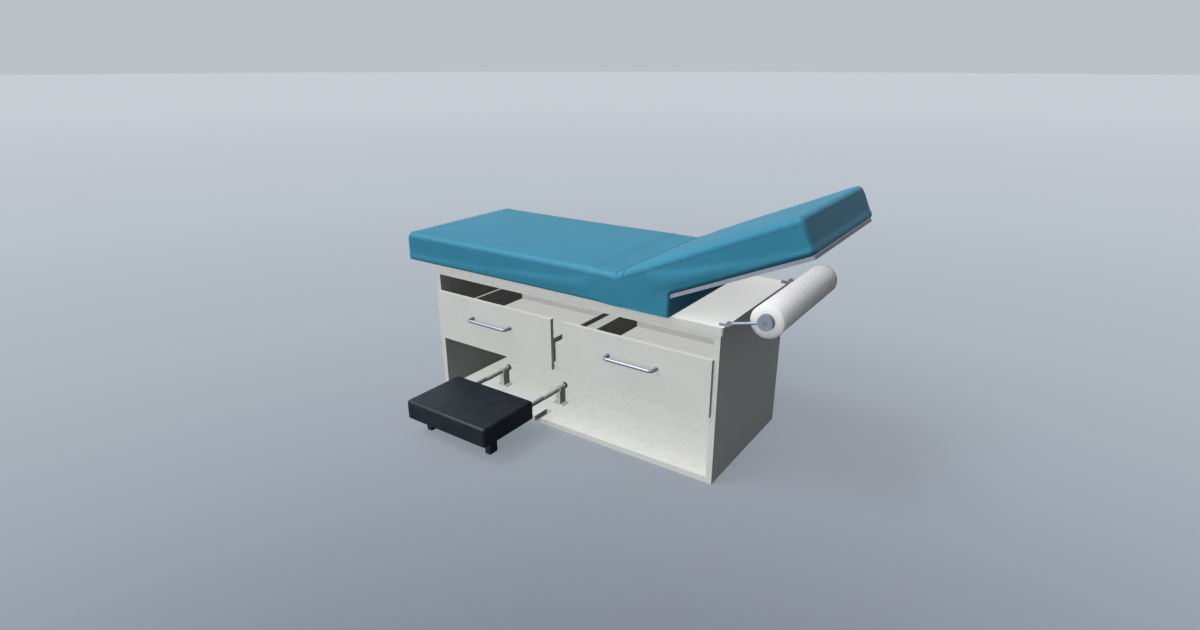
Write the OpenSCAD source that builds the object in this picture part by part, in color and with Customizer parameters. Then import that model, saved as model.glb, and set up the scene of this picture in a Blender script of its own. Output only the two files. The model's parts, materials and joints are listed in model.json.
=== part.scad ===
// Examination table: a laminate cabinet with two drawers and a pull-out step,
// a padded seat, a lifting padded back and a swinging paper roll holder.
// Millimetres. The origin is on the floor under the middle of the cabinet.
// +X runs to the head end, -Y is the drawer side, +Z is up.

/* [Cabinet] */
// Length of the cabinet from the foot end to the head end
body_l = 1470; // [1400:10:1600]
// Depth of the cabinet from the drawer side to the back
body_d = 640; // [600:10:720]
// Height of the cabinet up to the underside of the deck
body_h = 630; // [600:5:700]
// Thickness of the two end panels
side_t = 25; // [18:1:30]
// Thickness of the floor panel
floor_t = 25; // [18:1:30]
// Thickness of the panel under the deck
top_t = 22; // [18:1:30]
// Thickness of the back panel
rear_t = 16; // [12:1:20]
// How far the back panel sits in from the rear edges
rear_inset = 12; // [0:1:20]
// Diameter of the wooden dowels
dowel_d = 8; // [6:1:10]
// Length of the wooden dowels
dowel_l = 40; // [30:1:44]

/* [Deck] */
// Thickness of the deck
deck_t = 32; // [25:1:40]
// How far the deck stands out past the cabinet all round
deck_over = 12; // [6:1:20]
// Radius of the deck's corners
deck_corner_r = 8; // [4:1:12]
// Thread diameter of the screws that hold the deck
deck_screw_d = 5; // [4:0.5:6]

/* [Drawers] */
// Height of the lower edges of the drawer fronts
drawer_z = 296; // [280:2:310]
// Height of a drawer front
drawer_front_h = 235; // [215:5:245]
// Thickness of a drawer front
drawer_front_t = 18; // [15:1:22]
// Gap between the cabinet and the back of a drawer front
drawer_reveal = 2; // [1:0.5:4]
// Distance from a drawer front to the nearer end of the cabinet
drawer_margin = 18; // [10:1:22]
// Gap between the two drawer fronts
drawer_gap = 62; // [56:1:80]
// Height of a drawer box
drawer_box_h = 110; // [90:5:130]
// Thickness of the walls of a drawer box
drawer_wall = 12; // [10:1:15]
// Thickness of a drawer's bottom
drawer_floor_t = 6; // [4:1:8]
// Free depth behind a drawer box
drawer_rear_gap = 52; // [30:2:80]

/* [Drawer slides] */
// Space that one slide takes between a drawer box and the cabinet
slide_t = 12.7; // [12.5:0.1:13.5]
// Height of the fixed channel
channel_h = 45; // [40:1:50]
// Depth of the fixed channel
channel_t = 10; // [9:0.5:11]
// Sheet thickness of the channel and the rail
slide_wall = 1.5; // [1.2:0.1:1.8]
// Running clearance between the rail and the channel
slide_clear = 0.3; // [0.2:0.05:0.4]

/* [Drawer frame] */
// Thickness of the rail behind the lower edges of the drawer fronts
front_rail_t = 22; // [18:1:22]
// Depth of that rail
front_rail_d = 70; // [50:5:100]
// Width of the beam between the drawers
beam_w = 52; // [44:1:54]
// Height of the beam between the drawers
beam_h = 100; // [80:5:110]

/* [Handles] */
// Distance between the two feet of a handle
handle_pitch = 224; // [160:4:320]
// Diameter of the handle bar
handle_d = 14; // [10:1:16]
// Distance from the drawer front to the middle of the bar
handle_reach = 38; // [34:1:50]
// Bend radius of the bar
handle_bend = 18; // [14:1:22]
// Height of the bar above the lower edge of the drawer front
handle_up = 144; // [100:2:180]
// Thread diameter of the handle screws
handle_screw_d = 4; // [3:0.5:5]

/* [Step] */
// Width of the step
step_w = 460; // [420:10:500]
// Depth of the step
step_d = 310; // [290:5:330]
// Height of the top of the step above the floor
step_z = 163; // [158:1:180]
// Thickness of the step
step_h = 83; // [78:1:90]
// Wall thickness of the moulded step
step_wall = 5; // [4:0.5:6]
// Radius of the outer edges of the step
step_edge_r = 12; // [8:1:16]
// Distance from the foot end of the cabinet to the middle of the step
step_from_foot = 422; // [400:2:520]
// How far the step stands out from the cabinet
step_out = 400; // [390:1:420]
// Distance between the two slide tubes
tube_pitch = 354; // [320:2:380]
// Height of the slide tubes above the floor
tube_z = 105; // [103:1:110]
// Outer diameter of the slide tubes
tube_d = 20; // [18:1:22]
// Wall thickness of the slide tubes
tube_wall = 2; // [1.5:0.5:3]
// How far a slide tube reaches past the cabinet's front edge when the step is out
tube_in = 206; // [200:2:230]
// Running clearance of a tube in its guide
tube_clear = 0.1; // [0.05:0.05:0.2]
// Wall thickness of the channels that make the step's legs
leg_wall = 1.6; // [1.5:0.1:2]
// Clearance between a leg's inside and the guide that it slides over
leg_clear = 0.4; // [0.3:0.1:0.8]
// Depth of a step leg
leg_d = 46; // [36:1:50]
// Distance from the front of the step to its legs
leg_inset = 68; // [50:1:75]
// Thickness of the rubber feet
foot_t = 8; // [5:1:12]

/* [Step guides] */
// Wall thickness of the guide sleeves
sleeve_wall = 1.9; // [1.5:0.1:2.5]
// Distance from the cabinet's front edge to the mouth of a sleeve
sleeve_in = 40; // [34:1:50]
// Thickness of the stop collars at the rear ends of the tubes
collar_t = 8; // [6:1:10]
// Thickness of the ring that holds a sleeve
clamp_wall = 4; // [3:0.5:5]
// Length of a guide bracket along the sleeve
bracket_l = 42; // [36:2:60]
// Width of a guide bracket's foot
bracket_w = 60; // [56:2:70]

/* [Seat] */
// How far the seat cushion stands out past the foot end of the cabinet
seat_over = 146; // [100:2:180]
// Width of both cushions
cushion_w = 712; // [690:2:740]
// Thickness of the seat cushion
seat_h = 132; // [110:1:150]
// Radius of the cushions' edges
cushion_r = 20; // [12:1:26]
// How much the middle of a cushion stands above its edges
crown = 8; // [2:1:14]
// How much the long sides of a cushion pull in between the corners
draw_in = 4; // [1:1:8]
// Thickness of the board under the seat cushion
seat_board_t = 15; // [12:1:20]
// Gap between a soft cushion and what lies next to it
soft_gap = 0.3; // [0.2:0.1:0.6]

/* [Back] */
// Distance from the back's hinge to the head end of the cabinet
fold_from_head = 381; // [340:2:420]
// Length of the back cushion from the hinge to its head end
back_l = 734; // [640:2:800]
// Thickness of the back cushion
back_h = 127; // [110:1:140]
// Angle of the back above flat, as modelled
back_angle = 24; // [16:1:40]
// Thickness of the board under the back cushion
back_board_t = 13; // [10:1:18]
// How far the board stands back from the cushion's edges
back_board_inset = 8; // [6:1:30]
// Gap between the two cushions at the fold
fold_gap = 3; // [2:0.5:6]
// Distance from the hinge back to the seat's end above the hinge
seat_top_back = 60; // [56:1:64]
// Distance from the hinge back to the seat's end below the hinge
seat_low_back = 30; // [24:1:36]
// Length of the fold skirt past the hinge
skirt_l = 183; // [150:1:200]
// Thickness of the fold skirt
skirt_t = 5; // [3:0.5:8]

/* [Back hinge] */
// Diameter of the hinge pins
hinge_pin_d = 12; // [10:1:14]
// Radius of the round ends of the hinge plates
hinge_eye_r = 24; // [20:1:26]
// Thickness of the hinge plates
hinge_plate_t = 6; // [5:0.5:8]
// Distance from a cushion's side to the fixed hinge plate
hinge_in = 70; // [50:2:110]
// Radius of the ratchet housing
ratchet_r = 26; // [24:1:27]
// Thickness of the ratchet housing
ratchet_t = 8; // [6:1:10]
// Running clearance of the hinge pins
hinge_clear = 0.05; // [0.02:0.01:0.1]

/* [Paper roll] */
// Diameter of the paper roll
roll_d = 124; // [90:2:130]
// Length of the paper roll
roll_l = 600; // [500:5:600]
// Outer diameter of the cardboard core
core_d = 44; // [40:1:50]
// Wall thickness of the core
core_wall = 3; // [2:0.5:4]
// Diameter of the spindle
spindle_d = 12; // [10:1:14]
// Diameter of the arms of the holder
arm_d = 12; // [10:1:12]
// Diameter of the round cap at the end of each arm
arm_cap_d = 56; // [40:2:60]
// Distance from the arm's pivot to the roll, along the table
arm_run = 134; // [120:1:150]
// Height of the roll above the arm's pivot
arm_rise = 32; // [20:1:40]
// Height of the arm's pivot above the deck
pivot_up = 14; // [13:1:18]
// Distance from the deck's head end to the arm's pivot
pivot_out = 12; // [11:1:16]
// Diameter of the arm's pivot pins
pivot_pin_d = 6; // [5:1:8]

/* [Hidden] */
$fn = 48;

// Colours
laminate = "#d3d5d1";
laminate_front = "#c6c8c4";
steel = "#8d94a3";
dark = "#2b333d";
vinyl = "#3f86a3";
paper = "#eef0f2";
zinc = "#a9adb3";
timber = "#c9ad83";
white = "#e6e6e2";

// Cabinet places
foot_x = -body_l / 2;
head_x = body_l / 2;
front_y = -body_d / 2;
rear_y = body_d / 2;
back_panel_y = rear_y - rear_inset - rear_t;
deck_top = body_h + deck_t;
inner_l = body_l - 2 * side_t;
tiny = 0.01;

// Drawer places
drawer_w = (body_l - 2 * drawer_margin - drawer_gap) / 2;
drawer_front_y = front_y - drawer_reveal - drawer_front_t;
drawer_box_front = front_y - drawer_reveal;
drawer_box_rear = back_panel_y - drawer_rear_gap;
drawer_box_d = drawer_box_rear - drawer_box_front;
front_rail_y = front_y + 2;
front_rail_z = drawer_z + 2;
drawer_box_clear = 4;
drawer_box_z = front_rail_z + front_rail_t + drawer_box_clear;
drawer_floor_up = 6;
drawer_groove = 6;
slide_z = drawer_box_z + drawer_box_h / 2;
channel_y = front_y + 6;
channel_l = drawer_box_rear - channel_y;
box_outer_x = inner_l / 2 - slide_t;
box_inner_x = beam_w / 2 + slide_t;

// Step places
step_x = foot_x + step_from_foot;
step_front_y = front_y - step_out;
step_rear_y = step_front_y + step_d;
step_under_z = step_z - step_h;
tube_xs = [step_x - tube_pitch / 2, step_x + tube_pitch / 2];
rib_t = 4;
rib_xs = [step_x - tube_pitch / 6, step_x + tube_pitch / 6];
step_screw_xs = [for (share = [-0.34, -0.085, 0.085, 0.34]) step_x + share * tube_pitch];
sleeve_bore_d = tube_d + 2 * tube_clear;
sleeve_d = sleeve_bore_d + 2 * sleeve_wall;
clamp_d = sleeve_d + 2 * clamp_wall;
clamp_clear = 3;
leg_w = sleeve_d + 2 * leg_clear + 2 * leg_wall;
frame_plate_t = 4;
frame_plate_over = 12;
leg_front_y = step_front_y + leg_inset;
leg_rear_y = leg_front_y + leg_d;
leg_top_z = step_z - step_wall - frame_plate_t;
tube_front_y = leg_front_y + leg_wall;
tube_rear_y = front_y + tube_in;
sleeve_mouth_y = front_y + sleeve_in;
sleeve_rear_y = tube_rear_y - collar_t - 1;
step_travel = sleeve_mouth_y - tube_front_y - 2;
leg_slot_clear = 4;
leg_slot_d = leg_rear_y + step_travel - front_y + leg_slot_clear;
bracket_rear_y = sleeve_rear_y - 4;
bracket_front_y = bracket_rear_y - bracket_l;
bracket_foot_t = 4;
bracket_post_w = 24;
bracket_screw_d = 4;
bracket_screw_l = 0.7 * floor_t;

// Cushion and back places
seat_foot_x = foot_x - seat_over;
fold_x = head_x - fold_from_head;
fold_z = deck_top + 0.5 + back_board_t + back_h / 2;
back_round_r = back_h / 2;
seat_head_x = fold_x - seat_low_back;
seat_l = seat_head_x - seat_foot_x;
seat_z = deck_top + soft_gap;
seat_board_inset = 30;
board_start = 36;
cushion_bottom_r = 10;
fold_edge_r = 6;
hinge_y = cushion_w / 2 - hinge_in - hinge_plate_t;
leaf_gap = 0.4;
leaf_y = hinge_y - hinge_plate_t - leaf_gap;
leaf_l = 150;
leaf_foot_w = 24;
leaf_foot_t = 4;
skirt_end_x = fold_x + skirt_l;

// Paper roll places
pivot_x = head_x + deck_over + pivot_out;
pivot_z = deck_top + pivot_up;
roll_x = pivot_x + arm_run;
roll_z = pivot_z + arm_rise;
roll_hub_flange_t = 3;
arm_cap_t = arm_d + 2;
arm_y = roll_l / 2 + roll_hub_flange_t + 2 + arm_cap_t / 2;
arm_angle = atan2(arm_rise, arm_run);
arm_length = sqrt(arm_run * arm_run + arm_rise * arm_rise);
eye_t = 5.5;
eye_r = 9;
lug_t = 6;
eye_gap = 0.4;
holder_plate_l = 38;
holder_plate_w = 16;
holder_plate_t = 3;
holder_screw_d = 4;
holder_screw_l = 20;

// Shared shapes

// A box that is centred on x, with its near corner at y and z
module slab_x(w, y0, y1, z0, z1) {
    translate([-w / 2, y0, z0])
        cube([w, y1 - y0, z1 - z0]);
}

// A box between two corners
module block(low, high) {
    translate(low)
        cube(high - low);
}

// A flat rectangle with round corners, with its low corner at the origin
module round_rect(w, d, r) {
    translate([r, 0])
        square([w - 2 * r, d]);
    translate([0, r])
        square([w, d - 2 * r]);
    for (x = [r, w - r], y = [r, d - r])
        translate([x, y])
            circle(r);
}

// A cylinder along +Y from y0 to y1
module rod_y(d, y0, y1) {
    translate([0, y0, 0])
        rotate([-90, 0, 0])
            cylinder(d = d, h = y1 - y0);
}

// A ring along +Y from y0 to y1
module ring_y(outer, inner, y0, y1) {
    difference() {
        rod_y(outer, y0, y1);
        rod_y(inner, y0 - 1, y1 + 1);
    }
}

// A pan head screw whose head rests at z = 0 and whose thread runs down
module screw_down(d, l) {
    cylinder(d = 2 * d, h = 0.6 * d);
    translate([0, 0, -l])
        cylinder(d = d, h = l);
}

// Places a child in the frame of the raised back: x along it, z square to it
module on_back() {
    translate([fold_x, 0, fold_z])
        rotate([0, -back_angle, 0])
            children();
}

// Mirrors a child to both long sides of the table
module both_sides() {
    children();
    mirror([0, 1, 0])
        children();
}

// Cushion solid: crowned, with drawn-in sides and round edges

// How far an edge of radius r has dropped at the distance x from the end
function edge_drop(x, r) = x >= r ? 0 : r - sqrt(r * r - (r - x) * (r - x));

// Stations along the cushion, close together on the two round ends
function stations(l, r0, r1, steps) = concat(
    [for (i = [0:steps]) r0 * (1 - cos(90 * i / steps))],
    [for (i = [1:steps - 1]) r0 + (l - r0 - r1) * i / steps],
    [for (i = [0:steps]) l - r1 * (1 - cos(90 * (steps - i) / steps))]
);

// One closed ring of points around the cushion at the station x
function cushion_ring(x, l, w, h, r0, r1, p0, p1) =
    let (
        top = h - edge_drop(x, r0) - edge_drop(l - x, r1),
        bottom = edge_drop(x, r0) * low_share(r0, h) + edge_drop(l - x, r1) * low_share(r1, h),
        u = 2 * x / l - 1,
        v = max(-1, min(1, 2 * (x - r0) / (l - r0 - r1) - 1)),
        half_w = w / 2 - edge_drop(x, p0) - edge_drop(l - x, p1) - draw_in * (1 - u * u),
        r_top = min(cushion_r, (top - bottom) / 2 - 0.2),
        r_low = min(cushion_bottom_r, (top - bottom) / 2 - 0.2),
        steps = 4,
        swell = crown * (1 - v * v * v * v)
    )
    concat(
        [for (i = [0:steps]) let (a = 90 * i / steps)
            [x, half_w - r_top + r_top * cos(a), top - r_top + r_top * sin(a)]],
        [for (i = [1:5]) let (t = 1 - i / 3)
            [x, (half_w - r_top) * t, top + swell * (1 - t * t)]],
        [for (i = [0:steps]) let (a = 90 + 90 * i / steps)
            [x, -half_w + r_top + r_top * cos(a), top - r_top + r_top * sin(a)]],
        [for (i = [0:steps]) let (a = 180 + 90 * i / steps)
            [x, -half_w + r_low + r_low * cos(a), bottom + r_low + r_low * sin(a)]],
        [for (i = [0:steps]) let (a = 270 + 90 * i / steps)
            [x, half_w - r_low + r_low * cos(a), bottom + r_low + r_low * sin(a)]]
    );

// A wide end radius rounds the lower edge as much as the upper one
function low_share(r, h) = r > h / 3 ? 1 : 0.5;

// The cushion runs along x from 0 to l, its bottom lies at z = 0. Its two ends have
// the radii r0 and r1 in the side view and p0 and p1 in the plan
module cushion(l, w, h, r0, r1, p0, p1) {
    xs = stations(l, r0, r1, 6);
    rings = [for (x = xs) cushion_ring(x, l, w, h, r0, r1, p0, p1)];
    n = len(rings[0]);
    points = [for (ring = rings) for (p = ring) p];
    sides = [for (i = [0:len(xs) - 2]) for (j = [0:n - 1])
        let (a = i * n + j, b = i * n + (j + 1) % n, c = a + n, d = b + n)
        each [[a, b, d], [a, d, c]]];
    first_cap = [for (j = [1:n - 2]) [0, j + 1, j]];
    last = (len(xs) - 1) * n;
    last_cap = [for (j = [1:n - 2]) [last, last + j, last + j + 1]];
    polyhedron(points = points, faces = concat(sides, first_cap, last_cap));
}

// Cabinet

dowel_ys = [front_y + 60, 0, back_panel_y - 60];
dowel_zs = [floor_t / 2, body_h - top_t / 2];
dowel_in_side = 0.6 * side_t;

// Dowels across both end joints, or the holes for them
module dowels(d) {
    for (end = [-1, 1], y = dowel_ys, z = dowel_zs)
        translate([end * (inner_l / 2 + dowel_in_side - dowel_l / 2), y, z])
            rotate([0, 90, 0])
                cylinder(d = d, h = dowel_l, center = true);
}

module end_panel(x0) {
    difference() {
        block([x0, front_y, 0], [x0 + side_t, rear_y, body_h]);
        dowels(dowel_d);
    }
}

module foot_end_panel() {
    color(laminate)
        end_panel(foot_x);
}

module head_end_panel() {
    color(laminate)
        end_panel(head_x - side_t);
}

// The slots at the front edge let the step's legs in when the step is pushed home
module floor_panel() {
    color(laminate)
        difference() {
            slab_x(inner_l, front_y, rear_y, 0, floor_t);
            dowels(dowel_d);
            for (x = tube_xs)
                translate([x - leg_w / 2 - leg_slot_clear, front_y - 1, -1])
                    cube([leg_w + 2 * leg_slot_clear, leg_slot_d + 1, floor_t + 2]);
            for (x = tube_xs)
                bracket_screw_places(x)
                    translate([0, 0, -bracket_screw_l])
                        cylinder(d = bracket_screw_d, h = bracket_screw_l);
        }
}

deck_screw_xs = [-0.42 * body_l, 0, 0.42 * body_l];
deck_screw_ys = [front_y + 80, rear_y - 80];
deck_screw_l = top_t + 0.6 * deck_t;

// Screws that rise through the top panel into the deck
module deck_screw_places() {
    for (x = deck_screw_xs, y = deck_screw_ys)
        translate([x, y, body_h - top_t])
            mirror([0, 0, 1])
                children();
}

module top_panel() {
    color(laminate)
        difference() {
            slab_x(inner_l, front_y, rear_y, body_h - top_t, body_h);
            dowels(dowel_d);
            deck_screw_places()
                translate([0, 0, -deck_screw_l])
                    cylinder(d = deck_screw_d + 0.4, h = deck_screw_l + 1);
            seat_bolt_holes();
        }
}

module back_panel() {
    color(laminate)
        slab_x(inner_l, back_panel_y, back_panel_y + rear_t, floor_t, body_h - top_t);
}

seat_bolt_d = 8;
seat_bolt_l = top_t + deck_t + seat_board_t - 4;

// Bolts that rise through the top panel and the deck into the seat board
module seat_bolt_places() {
    for (x = [foot_x + 0.08 * body_l, seat_head_x - 0.14 * body_l], y = [-0.32 * body_d, 0.32 * body_d])
        translate([x, y, body_h - top_t])
            children();
}

module seat_bolt_holes() {
    seat_bolt_places()
        translate([0, 0, -1])
            cylinder(d = seat_bolt_d + 0.5, h = seat_bolt_l - 10);
}

module deck() {
    color(laminate)
        difference() {
            translate([foot_x - deck_over, front_y - deck_over, body_h])
                linear_extrude(deck_t)
                    round_rect(body_l + 2 * deck_over, body_d + 2 * deck_over, deck_corner_r);
            deck_screw_places()
                translate([0, 0, -deck_screw_l])
                    cylinder(d = deck_screw_d, h = deck_screw_l);
            holder_screw_places()
                translate([0, 0, -holder_screw_l])
                    cylinder(d = holder_screw_d, h = holder_screw_l);
            seat_bolt_holes();
        }
}

module deck_screws() {
    color(zinc)
        deck_screw_places()
            screw_down(deck_screw_d, deck_screw_l);
}

module carcass_dowels() {
    color(timber)
        dowels(dowel_d);
}

module front_rail() {
    color(laminate)
        slab_x(inner_l, front_rail_y, front_rail_y + front_rail_d, front_rail_z, front_rail_z + front_rail_t);
}

module centre_beam() {
    z0 = front_rail_z + front_rail_t;
    color(laminate)
        slab_x(beam_w, front_rail_y, back_panel_y, z0, z0 + beam_h);
}

// Drawers

// Outline of the fixed channel: its web stands at x = 0 and its mouth opens to +x
module channel_outline() {
    lip = 4;
    difference() {
        translate([0, -channel_h / 2])
            square([channel_t, channel_h]);
        translate([slide_wall, -channel_h / 2 + slide_wall])
            square([channel_t - 2 * slide_wall, channel_h - 2 * slide_wall]);
        translate([slide_wall, -channel_h / 2 + slide_wall + lip])
            square([channel_t, channel_h - 2 * slide_wall - 2 * lip]);
    }
}

// Outline of the drawer rail: its head runs in the channel, its foot is on the drawer box
module rail_outline() {
    lip = 4;
    head_h = channel_h - 2 * slide_wall - 2 * slide_clear;
    neck_h = head_h - 2 * lip;
    head_x0 = slide_wall + slide_clear;
    head_x1 = channel_t - slide_wall - slide_clear;
    difference() {
        union() {
            translate([head_x0, -head_h / 2])
                square([head_x1 - head_x0, head_h]);
            translate([head_x0, -neck_h / 2])
                square([slide_t - head_x0, neck_h]);
        }
        translate([head_x0 + slide_wall, -neck_h / 2 + slide_wall])
            square([slide_t, neck_h - 2 * slide_wall]);
    }
}

// A slide profile on the wall at x, its mouth towards the drawer that lies on the side "way"
module slide_profile(x, way, y0, l) {
    translate([x, y0 + l, slide_z])
        mirror([way < 0 ? 1 : 0, 0, 0])
            rotate([90, 0, 0])
                linear_extrude(l)
                    children();
}

// Side is -1 for the drawer at the foot end and 1 for the one at the head end
module drawer_channels(side) {
    color(zinc) {
        slide_profile(side * inner_l / 2, -side, channel_y, channel_l)
            channel_outline();
        slide_profile(side * beam_w / 2, side, channel_y, channel_l)
            channel_outline();
    }
}

module drawer_rails(side) {
    color(zinc) {
        slide_profile(side * inner_l / 2, -side, channel_y, channel_l)
            rail_outline();
        slide_profile(side * beam_w / 2, side, channel_y, channel_l)
            rail_outline();
    }
}

// A box between two distances from the middle of the table, on one side of it
module drawer_block(side, x0, x1, y0, y1, z0, z1) {
    mirror([side < 0 ? 1 : 0, 0, 0])
        block([x0, y0, z0], [x1, y1, z1]);
}

drawer_floor_z = drawer_box_z + drawer_floor_up;
drawer_floor_top = drawer_floor_z + drawer_floor_t;

module drawer_front(side) {
    x0 = drawer_gap / 2;
    color(laminate_front)
        difference() {
            drawer_block(side, x0, x0 + drawer_w, drawer_front_y, drawer_front_y + drawer_front_t,
                drawer_z, drawer_z + drawer_front_h);
            handle_screw_holes(side);
        }
}

// The groove holds the drawer's bottom
module drawer_side(side, x0, groove_x0) {
    color(white)
        difference() {
            drawer_block(side, x0, x0 + drawer_wall, drawer_box_front, drawer_box_rear,
                drawer_box_z, drawer_box_z + drawer_box_h);
            drawer_block(side, groove_x0, groove_x0 + drawer_groove, drawer_box_front - 1,
                drawer_box_rear + 1, drawer_floor_z, drawer_floor_top);
        }
}

module drawer_outer_side(side) {
    drawer_side(side, box_outer_x - drawer_wall, box_outer_x - drawer_wall);
}

module drawer_inner_side(side) {
    drawer_side(side, box_inner_x, box_inner_x + drawer_wall - drawer_groove);
}

module drawer_back(side) {
    color(white)
        drawer_block(side, box_inner_x + drawer_wall, box_outer_x - drawer_wall,
            drawer_box_rear - drawer_wall, drawer_box_rear, drawer_floor_top,
            drawer_box_z + drawer_box_h);
}

module drawer_bottom(side) {
    reach = drawer_wall - drawer_groove + slide_clear;
    color(white)
        drawer_block(side, box_inner_x + reach, box_outer_x - reach, drawer_box_front,
            drawer_box_rear, drawer_floor_z, drawer_floor_top);
}

handle_z = drawer_z + handle_up;
handle_mid_x = (drawer_gap + drawer_w) / 2;
handle_screw_l = drawer_front_t + 14;

// Places a child at both feet of a drawer's handle, on the face of the drawer front
module handle_feet(side) {
    for (end = [-1, 1])
        translate([side * handle_mid_x + end * handle_pitch / 2, drawer_front_y, handle_z])
            children();
}

module handle_screw_holes(side) {
    handle_feet(side)
        rod_y(handle_screw_d + 0.5, -1, drawer_front_t + 1);
}

module drawer_handle(side) {
    straight = handle_reach - handle_bend;
    color(steel)
        difference() {
            union() {
                handle_feet(side)
                    rod_y(handle_d, -straight, 0);
                translate([side * handle_mid_x, drawer_front_y - straight, handle_z])
                    handle_bends();
                translate([side * handle_mid_x - handle_pitch / 2 + handle_bend,
                    drawer_front_y - handle_reach, handle_z])
                    rotate([0, 90, 0])
                        cylinder(d = handle_d, h = handle_pitch - 2 * handle_bend);
            }
            handle_feet(side)
                rod_y(handle_screw_d, -14, 1);
        }
}

// The two quarter bends of a handle, around the middle of its feet
module handle_bends() {
    for (end = [0, 1])
        mirror([end, 0, 0])
            translate([handle_pitch / 2 - handle_bend, 0, 0])
                rotate([0, 0, -90])
                    rotate_extrude(angle = 90)
                        translate([handle_bend, 0])
                            circle(d = handle_d);
}

module handle_screws(side) {
    color(zinc)
        handle_feet(side)
            translate([0, drawer_front_t, 0])
                rotate([-90, 0, 0])
                    screw_down(handle_screw_d, handle_screw_l);
}

module left_drawer_channels() { drawer_channels(-1); }
module right_drawer_channels() { drawer_channels(1); }
module left_drawer_front() { drawer_front(-1); }
module right_drawer_front() { drawer_front(1); }
module left_drawer_outer_side() { drawer_outer_side(-1); }
module right_drawer_outer_side() { drawer_outer_side(1); }
module left_drawer_inner_side() { drawer_inner_side(-1); }
module right_drawer_inner_side() { drawer_inner_side(1); }
module left_drawer_back() { drawer_back(-1); }
module right_drawer_back() { drawer_back(1); }
module left_drawer_bottom() { drawer_bottom(-1); }
module right_drawer_bottom() { drawer_bottom(1); }
module left_drawer_rails() { drawer_rails(-1); }
module right_drawer_rails() { drawer_rails(1); }
module left_drawer_handle() { drawer_handle(-1); }
module right_drawer_handle() { drawer_handle(1); }
module left_handle_screws() { handle_screws(-1); }
module right_handle_screws() { handle_screws(1); }

// Step

// Places a child on the axis of both slide tubes
module at_tubes() {
    for (x = tube_xs)
        translate([x, 0, tube_z])
            children();
}

// A box with every edge rounded: its three outlines, each drawn out and crossed
module rounded_box(low, high, r) {
    size = high - low;
    translate(low)
        intersection() {
            linear_extrude(size.z)
                round_rect(size.x, size.y, r);
            translate([0, size.y, 0])
                rotate([90, 0, 0])
                    linear_extrude(size.y)
                        round_rect(size.x, size.z, r);
            rotate([90, 0, 90])
                linear_extrude(size.x)
                    round_rect(size.y, size.z, r);
        }
}

// The step is a hollow moulding, open below, with slots at the rear for the guides
module step_tread() {
    low = [step_x - step_w / 2, step_front_y, step_under_z];
    high = [step_x + step_w / 2, step_rear_y, step_z];
    wall = [step_wall, step_wall, step_wall];
    slot_w = clamp_d + 2 * clamp_clear;
    color(dark)
        difference() {
            rounded_box([low.x, low.y, low.z - step_edge_r], high, step_edge_r);
            block([low.x - 1, low.y - 1, low.z - step_edge_r - 1], [high.x + 1, high.y + 1, low.z]);
            difference() {
                block([low.x + step_wall, low.y + step_wall, low.z - step_edge_r - 1], high - wall);
                for (x = rib_xs)
                    block([x - rib_t / 2, low.y, low.z + 2 * step_wall], [x + rib_t / 2, high.y, high.z]);
            }
            for (x = tube_xs)
                block([x - slot_w / 2, high.y - 3 * step_wall, low.z - step_edge_r - 1],
                    [x + slot_w / 2, high.y + 1, tube_z + slot_w / 2]);
            step_screw_places()
                translate([0, 0, -1])
                    cylinder(d = step_screw_d, h = step_wall - 1);
        }
}

step_screw_d = 4;

// Screws that rise through the frame plate into the underside of the tread
module step_screw_places() {
    for (x = step_screw_xs)
        translate([x, leg_front_y + leg_d / 2, step_z - step_wall])
            children();
}

module step_frame_plate() {
    color(steel)
        difference() {
            block([tube_xs[0] - leg_w / 2 - frame_plate_over, leg_front_y - frame_plate_over, leg_top_z],
                [tube_xs[1] + leg_w / 2 + frame_plate_over, leg_rear_y + frame_plate_over,
                    leg_top_z + frame_plate_t]);
            for (x = rib_xs)
                block([x - rib_t / 2 - 1, step_front_y, leg_top_z - 1],
                    [x + rib_t / 2 + 1, step_rear_y, step_z]);
            step_screw_places()
                translate([0, 0, -frame_plate_t - 1])
                    cylinder(d = step_screw_d + 0.4, h = frame_plate_t + 2);
        }
}

module step_screws() {
    color(zinc)
        step_screw_places()
            translate([0, 0, -frame_plate_t])
                mirror([0, 0, 1])
                    screw_down(step_screw_d, frame_plate_t + step_wall - 2);
}

// A leg is a channel that is open to the rear, so the guide can enter it
module step_leg(x) {
    color(dark)
        difference() {
            block([x - leg_w / 2, leg_front_y, foot_t], [x + leg_w / 2, leg_rear_y, leg_top_z]);
            block([x - leg_w / 2 + leg_wall, tube_front_y, foot_t - 1],
                [x + leg_w / 2 - leg_wall, leg_rear_y + 1, leg_top_z + 1]);
        }
}

module step_left_leg() { step_leg(tube_xs[0]); }
module step_right_leg() { step_leg(tube_xs[1]); }

module step_feet() {
    color("#1c2026")
        for (x = tube_xs)
            translate([x - leg_w / 2, leg_front_y, 0])
                linear_extrude(foot_t)
                    round_rect(leg_w, leg_d, 3);
}

module step_tubes() {
    color(steel)
        at_tubes()
            ring_y(tube_d, tube_d - 2 * tube_wall, tube_front_y, tube_rear_y);
}

// The collars stop against the rear ends of the sleeves when the step is out
module step_collars() {
    color(zinc)
        at_tubes()
            ring_y(clamp_d, tube_d, tube_rear_y - collar_t, tube_rear_y);
}

module step_guide_sleeves() {
    color(laminate)
        at_tubes()
            ring_y(sleeve_d, sleeve_bore_d, sleeve_mouth_y, sleeve_rear_y);
}

// Places a child at each screw of the bracket on the guide at x
module bracket_screw_places(x) {
    for (y = [bracket_front_y + bracket_l / 4, bracket_rear_y - bracket_l / 4], side = [-1, 1])
        translate([x + side * (bracket_w / 2 - 2 * bracket_screw_d), y, floor_t])
            children();
}

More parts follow.
